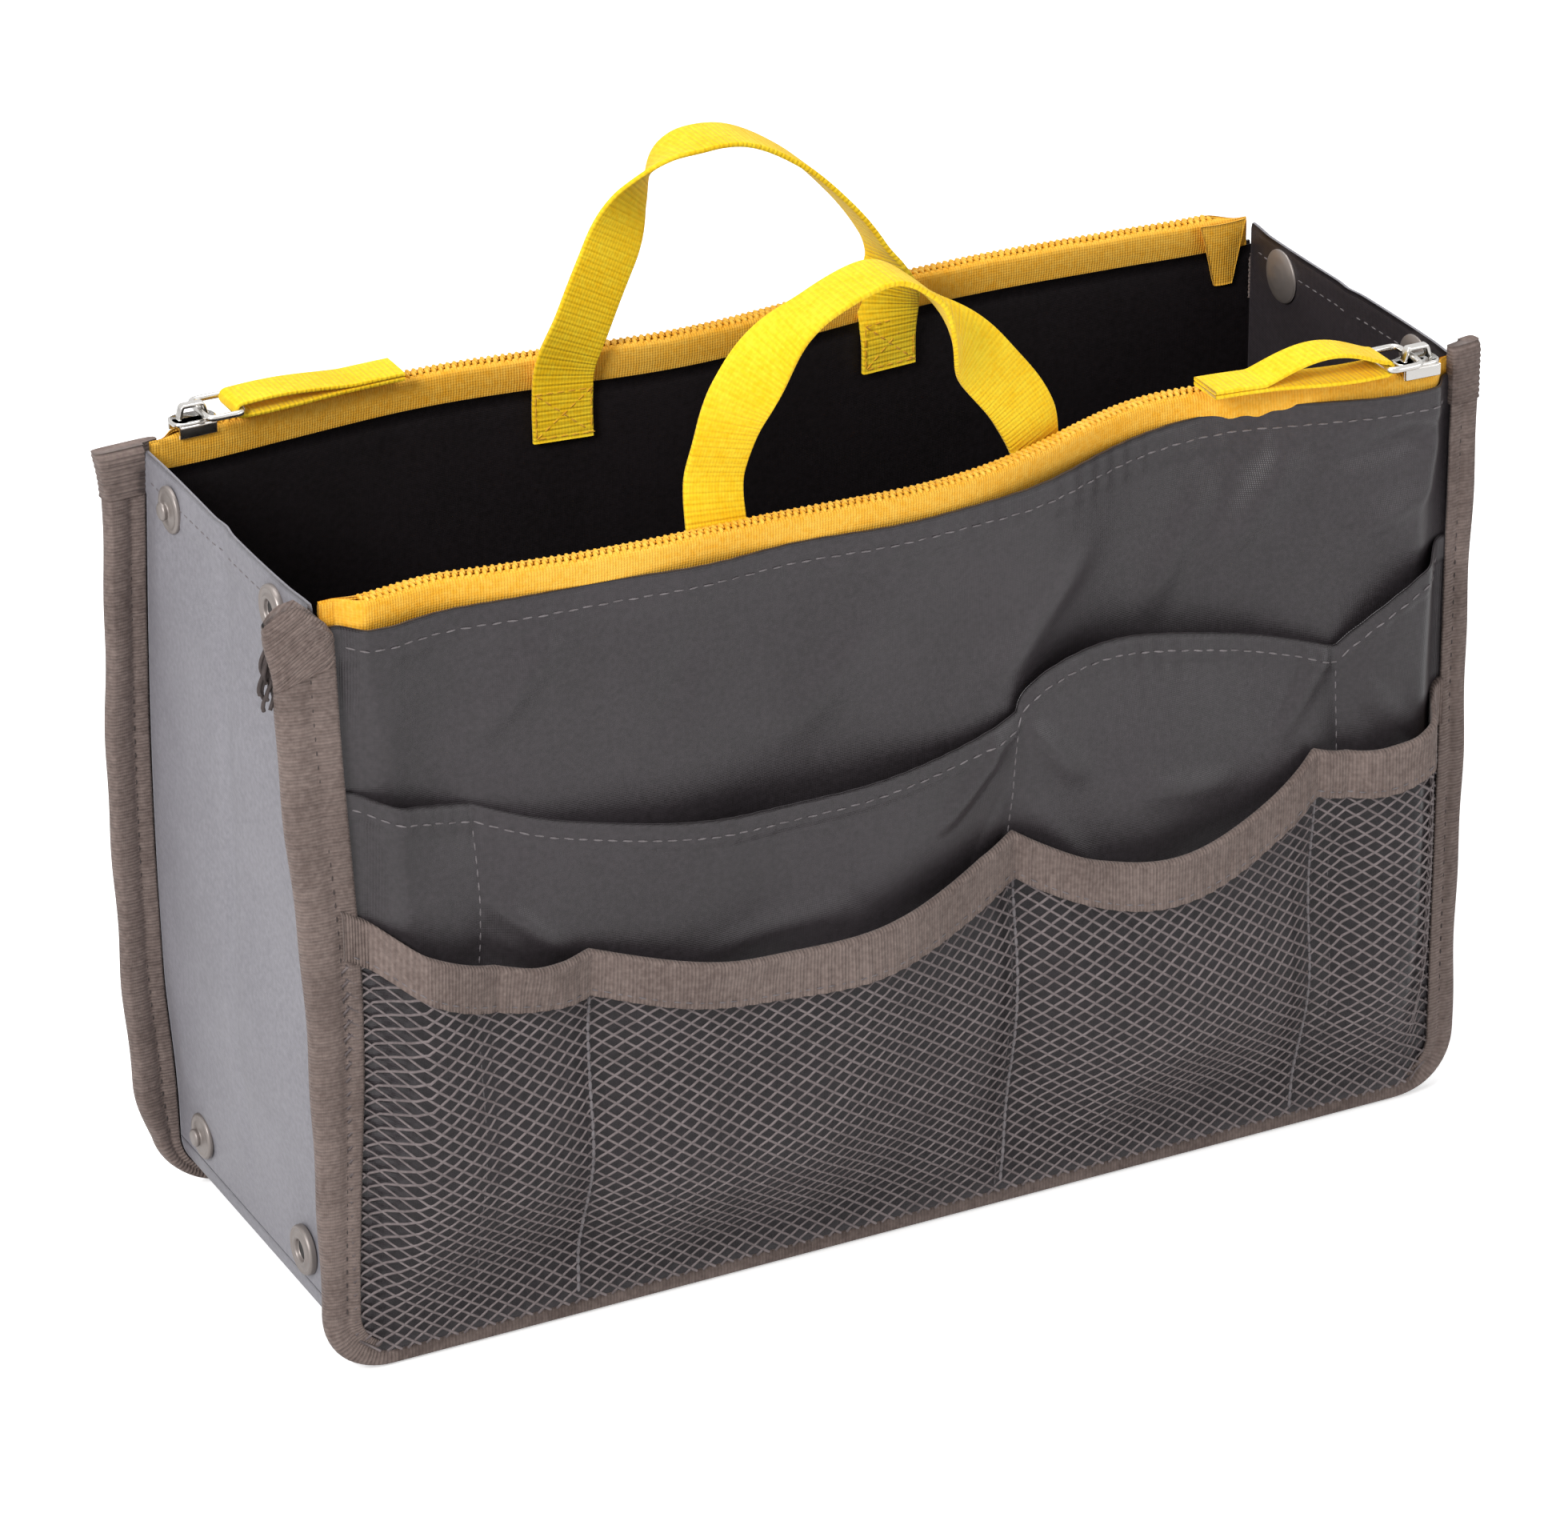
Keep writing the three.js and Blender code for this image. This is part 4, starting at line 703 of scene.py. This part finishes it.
def frayed_threads():
    """Loose threads at the corner of the front's left tape end: each a falling, curling line."""
    parts = []
    t = linspace(0, 1, 14)
    turned = fin_angle("front", -1, HEIGHT - 10)
    for k in range(9):
        long = 5.5 + 4.5 * rng.random()
        phase, curl = rng.random() * 6, 0.5 + 0.7 * rng.random()
        z = HEIGHT - 8.5 - 0.9 * k - long * t + 0.4 * sin(t * 9 + phase)
        reach = 9.6 - 0.28 * k + 1.4 * sin(t * 2.2) * (0.4 + rng.random()) + curl * sin(t * 7 + phase) * t
        height = 0.2 + curl * cos(t * 6 + phase) * t + 0.5 * (rng.random() - 0.5)
        path = on_fin("front", reach, height, array([-1.0, 0.0]), joined(-HALF, z), turned)
        ahead = ahead_of(path)
        side_way = unit(cross(ahead, [0.3, 1.0, 0.1]))
        parts += swept(path, unit(cross(side_way, ahead)), side_way, oval(0.42, 0.3, 2, 6))
    return parts


def zip_tapes(side):
    """Both tapes: each rises behind its layer, rounds over, and lies flat up to the coil."""
    x = linspace(-HALF + 0.4, HALF - 0.4, 260)[:, None]
    open_share = ramp(edge_room(side, x, HEIGHT), 5.5)
    middle = 0.6 + (CHAIN - 0.6) * open_share
    parts = []
    for sign, half in ((1, 2.3), (-1, CHAIN - 0.9)):
        upright = [[half - 0.9, -12.5], [half - 0.8, -9.0], [half, -5.5], [half, -2.2], [half - 0.15, -1.5]]
        profile = array([*upright, [half - 0.5, -1.05], [half - 0.9, -0.95], [0.95, -0.9]])
        out = middle + sign * profile[:, 0] * (0.07 + 0.93 * open_share)
        z = HEIGHT + profile[:, 1]
        inward = 0.5 * ahead_of(profile) @ array([[0, 1], [-1, 0]])
        bend = sway(side, x, z)
        lift = 0.075 * sin(x * 0.35) * ramp(z - HEIGHT + 4, 3)
        face = place(side, x, out + bend, z + lift)
        other = place(side, x, out + sign * inward[:, 0] + bend, z + inward[:, 1] + lift)
        parts.append(sheet_part(face, other, joined(x, way(profile)) * MM))
    return parts


def tape_tail():
    """The far end of the back's zip tape: a flap that narrows as it goes down inside the corner."""
    share = linspace(0, 1, 30)[:, None]
    across = linspace(0, 1, 18)
    z = HEIGHT - 0.8 - 14.5 * share + 0 * across
    outer_x, inner_x = -127.8 + 3.2 * share, -116.5 - 3.8 * share
    x = outer_x + (inner_x - outer_x) * across
    bow = 0.5 * sin(pi * across) * (1 - 0.4 * share)
    out = sway("back", x, z) - 0.35 - bow - 0.25 * sin(share * 5) * across
    return sheet_part(place("back", x, out - 0.5, z), place("back", x, out, z), joined(x, z) * MM)


def coils(side):
    """The zip's two meshing rows of coils."""
    parts = []
    for sign in (1, -1):
        x = arange(-POCKET_HALF + 6, POCKET_HALF - 6, COIL_PITCH) + (COIL_PITCH / 2 if sign > 0 else 0)
        centre = place(side, x, CHAIN + sign * 0.65 + sway(side, x, HEIGHT), HEIGHT - 0.95)
        slope = sway(side, x + 0.5, HEIGHT) - sway(side, x - 0.5, HEIGHT)
        along = unit(turn(side, joined(1.0, slope, 0.0)))
        across = unit(turn(side, joined(-slope, 1.0, 0.0)))
        parts.append(beads(centre, across, along, UP, (2.5, 1.0, 1.4)))
    return parts


def build_wall(side):
    """All the sewn layers of a wall, which ride on its body."""
    body = f"{side}_wall"
    pocket = FRONT_CLOTH if side == "front" else BACK_CLOTH
    panel = lambda x, z: panel_out(side, x, z)
    cloth = lambda x, z: cloth_out(side, pocket, x, z)
    lining = lambda x, z: sway(side, x, z) + folds(side, x - 17, z, 0.125)
    outer = layer(side, panel, 1.2, lambda x: panel_top(side, x), 0.7, columns=340, rows=170, hem=7.5)
    inner = layer(side, lining, 1.2, lambda x: PANEL_TOP + 0 * x, 0.6, rows=60)
    front = layer(side, cloth, 0.0, lambda x: mouth(pocket, x), 0.65, columns=380, rows=150, hem=5.2)
    for name, sheet, material, slot, replaced, flat, under in (
        ("outer_cloth", outer, NYLON, "shell", "outer_panel", (0.268, 0.170), "binding"),
        # the lining's near-black colour is painted shade
        ("lining", inner, WALL_LINING_PAINTED_SHADE, "lining", "inner_panel", (0.268, 0.170), "binding"),
        ("pocket_cloth", front, NYLON, "shell", "cloth_pocket", (0.275, 0.135), "outer_cloth"),
    ):
        made = make(f"{side}_{name}", [sheet], material, body, [f"{side}_{replaced}"])

    tape_parts = [binding(side), *tape_end(side, 1), *tape_end(side, -1)]
    edge = make(f"{side}_edge_tape", tape_parts, GROSGRAIN, body, [f"{side}_binding"])

    tape_parts = zip_tapes(side) + ([tape_tail()] if side == "back" else [])
    replaced = [f"{side}_zip_tape_outer", f"{side}_zip_tape_inner"]
    tapes = make(f"{side}_zip_cloth", tape_parts, ZIP_CLOTH, body, replaced)
    make(f"{side}_zip_coils", coils(side), COIL, body)

    wide = linspace(-POCKET_HALF + 2, POCKET_HALF - 2, 400)
    lines = [
        stitches(side, lambda x, z: panel(x, z) + 1.05, wide, panel_top(side, wide) - PANEL_SEAM),
        stitches(side, lambda x, z: cloth(x, z) + 1.0, wide, mouth(pocket, wide) - POCKET_SEAM),
    ]
    for seam in pocket.seams[1:-1]:
        z = linspace(mouth(pocket, seam) - 2, POCKET_LOW, 90)
        lines.append(stitches(side, lambda x, z: cloth(x, z) + 0.65, seam + 0 * z, z, 2.8, 2.0))
    make(f"{side}_stitches", lines, THREAD, body)
    # the binding's stitches are dark with painted shade of their needle holes
    make(f"{side}_tape_stitches", tape_stitches(side, 1) + tape_stitches(side, -1), DARK_THREAD_AND_HOLE_SHADE, body)


for side in SIDES:
    build_wall(side)
make("front_loose_threads", frayed_threads(), DARK_THREAD_AND_HOLE_SHADE, "front_wall")


# ---- net


def net_strands():
    """A diamond net: two families of crossing strands, each a thin four-sided tube."""
    low, high = POCKET_LOW - 1.5, 108.0
    reach = HALF - 0.5
    rise = NET_PITCH_Z / NET_PITCH_X
    count = int((2 * reach + (high - low) / rise) / NET_PITCH_X) + 2
    section = array([[STRAND_HALF, 0], [0, STRAND_HALF_THICK], [-STRAND_HALF, 0], [0, -STRAND_HALF_THICK]])
    surface = lambda x, z: net_out(x, z) + 0.4
    parts = []
    for family in (1, -1):
        for k in range(count):
            start = -reach - (high - low) / rise + k * NET_PITCH_X
            z = arange(low, high, NET_PITCH_Z / 2)
            x = (start + (z - low) / rise) * family
            ok = (np.abs(x) < reach) & (z > foot_line(x, 0.8)) & (z < mouth(FRONT_NET, x) - 8.6)
            if ok.sum() < 2:
                continue
            x, z = x[ok], z[ok]
            lift = 0.084 * family * cos(arange(len(x)) * pi)
            path = place("front", x, surface(x, z) + lift, z)
            normal = facing("front", surface, x, z)
            parts += swept(path, normal, unit(cross(normal, ahead_of(path))), section)
    return parts


net = make("front_net", net_strands(), NET, "front_wall", ["front_net_pocket"])


def net_mouth():
    """The tape folded over the net's mouth, slightly puckered by its sewing."""
    x = linspace(-POCKET_HALF - 0.6, POCKET_HALF + 0.6, 420)[:, None]
    high = mouth(FRONT_NET, x)
    side_z, turn_t = linspace(-NET_TAPE, -0.8, 12), linspace(0.2, pi - 0.2, 9)
    profile_z = concatenate([side_z, -0.8 + 0.8 * sin(turn_t), side_z[::-1]])
    profile_o = concatenate([np.full(12, 1.0), cos(turn_t), np.full(12, -1.0)])
    z = high + profile_z
    pucker = 0.16 * sin(x * 2 * pi / 3.1) * ramp(-profile_z - 4, 4)
    middle = net_out(x + 0 * z, minimum(z, high - 1)) + 0.4 + pucker
    inner = place("front", x, middle + profile_o * 0.55, z - 0.6 * ramp(profile_z + 1.5, 1.5))
    outer = place("front", x, middle + profile_o * 1.15, z)
    run = way(concatenate([x, high], 1))[:, None]
    return sheet_part(inner, outer, joined(run, way(joined(profile_z, profile_o))) * MM)


replaced = ["front_net_mouth_binding"]
tape = make("front_net_mouth_tape", [net_mouth()], GROSGRAIN, "front_wall", replaced)

along_x = linspace(-POCKET_HALF + 1, POCKET_HALF - 1, 400)
on_net = lambda x, z: net_out(x, z) + 0.75
low_edge = mouth(FRONT_NET, along_x) - 9.2
net_lines = [stitches("front", lambda x, z: net_out(x, z) + 1.5, along_x, low_edge, 2.4, 1.7, 0.35)]
for seam in FRONT_NET.seams[1:-1]:
    z_line = linspace(mouth(FRONT_NET, seam) - 11, POCKET_LOW + 1, 80)
    net_lines.append(stitches("front", on_net, seam + 0 * z_line, z_line, 2.2, 2.3, 0.9))
make("front_net_stitches", net_lines, THREAD, "front_wall")


# ---- ends and base


def end_off(end, y, z):
    """How far an end's cloth stands out: a bow with the back seam, soft folds and a faint crease."""
    rise = sin(pi * clip(z / HEIGHT, 0, 1))
    bow = END_BOW * ramp(y + END_HALF, 2 * END_HALF) * rise * (end < 0) + 1.6 * (1 - (y / END_HALF) ** 2) * rise
    soft = 0.5 * sin(z * 0.052 + y * 0.03 + end) + 0.35 * sin(z * 0.11 - y * 0.07)
    crease = -0.5 * exp(-((y / 3.0) ** 2))
    loose = soft * ramp(END_REACH - np.abs(y), 9) + crease
    return bow * ramp(z - END_LOW, 40) + loose * ramp(z - END_LOW, 20)


def at_middle(x, y, z):
    """Row-frame metres of millimetres from the middle between the walls."""
    return joined(x * MM, MID_Y + y * MM, z * MM)


def end_cloth(end):
    """One end: cloth from seam to seam, with a faint crease in its middle and a doubled top hem."""
    y = linspace(-END_REACH, END_REACH, 130)[:, None]
    z = linspace(END_LOW - 1.0, END_TOP, 150)
    off = HALF + end_off(end, y, z)
    hem = HEM_RISE * ramp(9.5 - (END_TOP - z), 0.6)
    rolled = 0.25 * ramp(1.0 - (END_TOP - z), 1.0)
    inner = at_middle(end * (off + rolled), y, z)
    outer = at_middle(end * (off + END_CLOTH - 0.1 + hem - rolled), y, z)
    return sheet_part(inner, outer, joined(y, z) * MM)


for hand, end in ENDS:
    replaced = [f"{hand}_end_front_half", f"{hand}_end_back_half"]
    # outside the light grey of painted light and sheen, inside the plain dark nylon
    cloth = make(f"{hand}_end_cloth", [end_cloth(end)], END_NYLON_PAINTED_LIGHT, None, replaced, lining=NYLON)
    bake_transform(cloth)
    for half, low, high in (("front", -39, -1.5), ("back", 1.5, 39)):
        y = arange(low, high, 2.9)
        z = END_TOP - 5.5 + 0 * y
        off = HALF + end_off(end, y, z)
        both = concatenate([at_middle(end * (off + gap), y, z) for gap in (END_CLOTH + 0.25, 0.0)])
        sewn = beads(both, [0, 1.0, 0], UP, [end, 0, 0], (1.9, 0.4, 0.3))
        make(f"{hand}_{half}_end_stitches", [sewn], THREAD, f"{hand}_{half}_half")


def base_cloth():
    """The base and its rounded turns up into the ends."""
    angle = linspace(0, pi / 2, 16)
    centre_x, centre_z = HALF - CORNER, FOOT + CORNER

    flat_x = linspace(centre_x, -centre_x, 80)[1:-1]

    def path(r):
        corner = joined(centre_x + r * cos(angle), centre_z - r * sin(angle))
        return concatenate([corner, joined(flat_x, centre_z - r), corner[::-1] * [-1, 1]])

    y = linspace(-BASE_REACH, BASE_REACH, 60)
    run = way(path(CORNER))[:, None]
    soft = 0.25 * sin(run * 0.07) * sin(y * 0.09 + 1) * ramp(run - 18, 10) * ramp(run[-1] - run - 18, 10)
    inner, outer = (
        at_middle(line[:, :1], y, line[:, 1:] + soft) for line in (path(CORNER), path(CORNER + END_CLOTH))
    )
    return sheet_part(inner, outer, joined(run, y) * MM)


# the base's outside takes the same grey of painted light and sheen
base = make("base_cloth", [base_cloth()], END_NYLON_PAINTED_LIGHT, "front_wall", ["base"])
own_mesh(base)


# ---- snap fasteners


def lathe(profile, centre, axis, count=40):
    """A body of revolution: profile's (radius, along) in mm turned about axis through centre."""
    axis = array(axis, float)
    u = unit(cross(axis, UP))
    c, s = circle(count)
    ring = c[:, None] * u + s[:, None] * cross(axis, u)
    profile = array(profile, float) * MM
    points = array(centre) + profile[:, None, :1] * ring + profile[:, None, 1:] * axis
    uv = joined(way(profile)[:, None], arange(count) / count * 2 * pi * 0.005)
    return points, [quads(len(profile), count, wrap_columns=True)], uv


def rounded(points, radius=0.3, steps=4):
    """A profile with its inner corners rounded by short arcs."""
    points = array(points, float)
    out = [points[0]]
    for before, at, after in zip(points[:-2], points[1:-1], points[2:]):
        a, b = before - at, after - at
        cut = min(radius, np.linalg.norm(a) / 2, np.linalg.norm(b) / 2)
        start, stop = at + unit(a) * cut, at + unit(b) * cut
        for s in linspace(0, 1, steps):
            out.append((1 - s) ** 2 * start + 2 * s * (1 - s) * at + s**2 * stop)
    return array([*out, points[-1]])


CAP_PROFILE = rounded([[0, 1.75], [2.6, 1.62], [4.6, 1.15], [6.0, 0.55], [6.0, 0.0], [0.0, 0.0]], 0.5)
SOCKET_PROFILE = rounded(
    [[0, 0.75], [2.3, 0.75], [2.5, 1.7], [3.1, 1.95], [3.7, 1.45], [4.5, 1.45], [5.0, 1.75], [5.4, 1.2]]
    + [[5.4, 0], [0, 0]]
)
SOCKET_MOUTH = [[0, 0.95], [1.6, 0.95], [2.25, 0.85], [2.3, 0.4], [0, 0.4]]
STUD_PROFILE = rounded(
    [[0, 2.9], [1.5, 2.85], [2.05, 2.4], [1.75, 1.5], [2.4, 1.25], [3.6, 0.95], [4.4, 1.2], [5.0, 0.9]]
    + [[5.0, 0], [0, 0]]
)
SNAPS = (("front", -1, "socket", SOCKET_PROFILE), ("back", 1, "stud", STUD_PROFILE))


for hand, end in ENDS:
    for half, sign, kind, profile in SNAPS:
        for level, height in SNAP_Z.items():
            body, name, y = f"{hand}_{half}_half", f"{hand}_{level}_{kind}", sign * SNAP_Y
            off = HALF + end_off(end, y, height)
            outside, inside = (at_middle(end * (off + gap), y, height) for gap in (END_CLOTH, 0.0))
            out, back = (end, 0, 0), (-end, 0, 0)
            make(f"{name}_metal", [lathe(profile, outside, out)], PEWTER, body, [name])
            if kind == "socket":
                # a dark disc in the socket's mouth: painted shade over its spring
                make(f"{name}_mouth", [lathe(SOCKET_MOUTH, outside, out)], SOCKET_MOUTH_PAINTED_SHADE, body)
            make(f"{name}_button", [lathe(CAP_PROFILE, inside, back)], PEWTER, body, [f"{name}_cap"])


# ---- sliders and pulls


def slider_plate(side, bevel=0.45):
    """Top plate: a rounded shield, wide at its nose, drawn in at its top and bottom."""
    c, s = circle(40)
    x = (SLIDER_NOSE + SLIDER_TAIL) / 2 + 5.0 * signed(c, 0.7)
    outline = joined(x, CHAIN + SLIDER_HALF * (0.88 + 0.12 * c) * signed(s, 0.7))
    middle = outline.mean(0)
    size = np.linalg.norm(outline - middle, axis=1, keepdims=True)
    t = linspace(0, pi / 2, 5)
    inset, rise = bevel * (1 - sin(t)), bevel * (1 - cos(t))
    inset = concatenate([inset, inset[::-1]])[:, None, None]
    level = concatenate([PLATE_LOW + rise, PLATE_TOP - rise[::-1]])[:, None]
    rings = middle + (outline - middle) * (1 - inset / size)
    return tube(place(side, rings[..., 0], rings[..., 1], level), rings * MM)


def slider_metal(side):
    """Top plate, two side flanges, and the pull ring's bridge."""
    parts = slider_plate(side)
    out_way = turn(side, [0, 1, 0])
    for sign in (1, -1):
        x = linspace(SLIDER_TAIL + 0.9, SLIDER_NOSE - 0.9, 24)
        half = SLIDER_HALF * (0.9 + 0.1 * sin((x - SLIDER_TAIL) / 10 * pi / 2))
        path = place(side, x, CHAIN + sign * (half - 0.3), 174.5)
        parts += swept(path, UP, out_way, oval(0.34, 1.3, 5, 16))
    t = linspace(0, 1, 40)
    rise = clip(minimum(t, 1 - t) / 0.16, 0, 1)
    path = place(side, SLIDER_TAIL + 2.1 + 6.0 * t, CHAIN, 176.0 + 3.1 * sin(rise * pi / 2))
    normal = unit(cross(out_way, ahead_of(path)))
    return parts + swept(path, normal, out_way, oval(1.0, 0.45, 4, 16))


def ring_metal(side):
    """A wire bent to a rounded rectangle, lying flat."""
    c, s = circle(72)
    path = place(side, RING_X - 4.0 + 4.0 * signed(c, 0.36), CHAIN + 5.4 * signed(s, 0.36), RING_Z)
    along = unit(np.roll(path, -1, 0) - np.roll(path, 1, 0))
    return swept(path, UP, unit(cross(UP, along)), oval(0.7, 0.7), closed=True)


def pull_webbing(side):
    """A strip from its sewn end round the ring's far bar and back over itself in a bow."""
    r = 1.4
    t = linspace(-pi / 2, pi / 2, 14)[1:-1]
    lower = joined(linspace(PULL_END, PULL_X, 60), RING_Z - r)
    bend = joined(PULL_X + r * cos(t), RING_Z + r * sin(t))
    back_x = linspace(PULL_X, PULL_END, 60)
    back_by = PULL_X - back_x
    bow = sin(clip(back_by / (PULL_X - PULL_SEWN), 0, 1) * pi) ** 1.2
    down = ramp(back_by, PULL_X - PULL_SEWN)
    back_z = (RING_Z + r) * (1 - down) + (RING_Z - r + 1.0) * down + PULL_RISE[side] * bow
    x, z = concatenate([lower, bend, joined(back_x, back_z)]).T
    path = place(side, x, CHAIN + 0.55 * sway(side, x, HEIGHT) * ramp(PULL_X - x, 25), z)
    side_way = turn(side, [0, 1, 0])
    normal = unit(cross(side_way, ahead_of(path)))
    return swept(path, normal, side_way, oval(4.5, 0.46, 8, 28))


for side in SIDES:
    ring, pull, zip_slider = f"{side}_pull_ring", f"{side}_pull_webbing", [f"{side}_zip_slider"]
    make(f"{side}_slider_metal", slider_metal(side), NICKEL, f"{side}_slider", zip_slider)
    make(f"{side}_ring_metal", ring_metal(side), NICKEL, ring, [ring])
    loop = make(f"{side}_pull_loop", pull_webbing(side), WEBBING, pull, [pull])


# ---- handles

HANDLE_LINES = {
    "front": [(-43, 156), (-43, 166), (-42.6, 176), (-40.4, 187), (-36.5, 199), (-27, 212.5), (-9, 220.2)]
    + [(1.5, 215.5), (9, 206), (18, 194.5), (27, 183), (32, 171.5), (33, 156)],
    "back": [(-41, 156), (-41, 166), (-40.4, 177), (-36.5, 187), (-29.5, 197.2), (-18.5, 208), (-5, 215)]
    + [(9, 214), (18, 205.5), (25, 194.5), (31, 184), (35.5, 174), (36.5, 165), (36.5, 156)],
}
# start and run of a handle's quarter turn from its left foot, then from its right foot, as shares
HANDLE_TURNS = {"front": (0.18, 0.24, 0.24, 0.18), "back": (0.03, 0.18, 0.27, 0.2)}


def curve(points, count):
    """A smooth line through points, at an even pace, and how far along it each place is."""
    points = array(points, float)
    ends = concatenate([[2 * points[0] - points[1]], points, [2 * points[-1] - points[-2]]])
    line = []
    for k in range(1, len(ends) - 2):
        p0, p1, p2, p3 = ends[k - 1 : k + 3]
        t = linspace(0, 1, 24, endpoint=k == len(ends) - 3)[:, None]
        square, cube = 2 * p0 - 5 * p1 + 4 * p2 - p3, 3 * p1 - p0 - 3 * p2 + p3
        line.append(0.5 * (2 * p1 + (p2 - p0) * t + square * t**2 + cube * t**3))
    line = concatenate(line)
    run = way(line)
    at = linspace(0, run[-1], count)
    return np.interp(at, run, line[:, 0]), np.interp(at, run, line[:, 1]), at


def handle_webbing(side):
    """Webbing sewn to the lining at both feet, with a quarter turn between them, to lie flat in a hand."""
    x, z, run = curve(HANDLE_LINES[side], 220)
    on_wall = minimum(z, HEIGHT)
    above = z - HEIGHT
    blend = ramp(above + 6, 14)
    out = (sway(side, x, on_wall) - 1.2) * (1 - blend) + (6.0 * ramp(above, 44) - 2.2) * blend
    path = place(side, x, out, z)
    along = ahead_of(path)
    across = turn(side, [0, 1, 0])
    share = run / run[-1]
    first, first_run, last, last_run = HANDLE_TURNS[side]
    turned = (-ramp(share - first, first_run) * ramp(1 - share - last, last_run) * pi / 2)[:, None]
    wide = unit(cos(turned) * unit(cross(across, along)) + sin(turned) * across)
    slope = (sway(side, x + 1, on_wall) - sway(side, x - 1, on_wall)) / 2 * (1 - blend)
    wide = wide + (wide @ turn(side, [1, 0, 0]) * slope)[:, None] * across
    thick = unit(cross(along, wide))
    return swept(path, thick, unit(cross(thick, along)), oval(6.6, 0.62, 9, 36))


def foot_sewing(side):
    """A box of stitches with a cross in it on each foot."""
    surface = lambda x, z: sway(side, x, z) - 1.87
    parts = []
    for middle, _ in (HANDLE_LINES[side][0], HANDLE_LINES[side][-1]):
        left, right, low, high = middle - 6, middle + 6, 157, 167
        box = [(left, low), (right, low), (right, high), (left, high)]
        corners = [box[k] for k in (0, 1, 2, 3, 0, 2, 1, 3)]
        x, z = concatenate([linspace(a, b, 12) for a, b in zip(corners[:-1], corners[1:])]).T
        parts.append(stitches(side, surface, x, z, 2.4, 1.8, 0.4))
    return parts


for side, wall_y in zip(SIDES, (FRONT_Y, BACK_Y)):
    replaced = [f"{side}_handle", f"{side}_handle_foot_left", f"{side}_handle_foot_right"]
    loop = make(f"{side}_handle_webbing", handle_webbing(side), WEBBING, None, replaced)
    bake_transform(loop)
    make(f"{side}_handle_stitches", foot_sewing(side), YELLOW_THREAD, f"{side}_wall")


# ---- stage, light and camera

white_floor, floor_tree, floor_shader = new_material(
    "pale_floor", Base_Color=linear("#F4F4F4"), Roughness=0.9, Emission_Color=(1, 1, 1, 1)
)
camera_ray = node(floor_tree, "LightPath")["Is Camera Ray"]
glow = node(floor_tree, "Math", a_operation="MULTIPLY", i0=camera_ray, i1=0.5)
floor_tree.links.new(glow[0], floor_shader.inputs["Emission Strength"])
floor_mesh = bpy.data.meshes.new("floor")
floor_mesh.from_pydata([(-6, -6, 0), (6, -6, 0), (6, 6, 0), (-6, 6, 0)], [], [(0, 1, 2, 3)])
floor_mesh.materials.append(white_floor)
floor = add_object("floor", floor_mesh)
floor.location.z = -0.0002


def facing_matrix(right, up, back, at):
    """World matrix from three directions and a place."""
    return Matrix([[right[k], up[k], back[k], at[k]] for k in range(3)] + [[0, 0, 0, 1]])


def softbox(name, at, size, power):
    """A square area light, turned to the object."""
    light = bpy.data.lights.new(name, "AREA")
    light.size, light.energy = size, power
    back = unit(array(at) - [0, 0, 0.1])
    right = unit(cross(UP, back))
    add_object(name, light).matrix_world = facing_matrix(right, cross(back, right), back, at)


softbox("key_light", (-1.35, -0.75, 1.2), 0.6, 27)
softbox("fill_light", (1.2, -1.2, 0.6), 1.0, 6)
softbox("top_light", (0.1, 0.3, 1.6), 0.9, 13)

world = bpy.data.worlds.new("white_surround")
world.use_nodes = True
sky = world.node_tree
background = sky.nodes["Background"].inputs
background["Color"].default_value = (1, 1, 1, 1)
rays = node(sky, "LightPath")
seen = node(sky, "Math", a_operation="MAXIMUM", i0=rays["Is Camera Ray"], i1=rays["Is Glossy Ray"])
seen = node(sky, "Math", a_operation="MAXIMUM", i0=seen[0], i1=rays["Is Transmission Ray"])
level = node(sky, "MapRange", Value=seen[0], To_Min=0.38, To_Max=1.0)
sky.links.new(level[0], background["Strength"])
scene.world = world

PHOTO_WIDTH, FOCAL_PIXELS, SENSOR = 1960, 9000, 36
CAMERA_DISTANCE = 1.517
azimuth, elevation, roll = np.radians([-26.8, 26.65, -0.4])
back = array([sin(azimuth) * cos(elevation), -cos(azimuth) * cos(elevation), sin(elevation)])
right = array([cos(azimuth), sin(azimuth), 0.0])
up = cross(back, right)
right, up = right * cos(roll) + up * sin(roll), up * cos(roll) - right * sin(roll)
target = array([0, MID_Y, 0.0875]) - right * 0.0056 + up * 0.0033
camera = add_object("camera", bpy.data.cameras.new("camera"))
camera.data.lens = FOCAL_PIXELS / PHOTO_WIDTH * SENSOR
camera.data.sensor_width = SENSOR
camera.data.clip_start, camera.data.clip_end = 0.05, 20
camera.matrix_world = facing_matrix(right, up, back, target + back * CAMERA_DISTANCE)
scene.camera = camera
scene.view_settings.view_transform = "Standard"
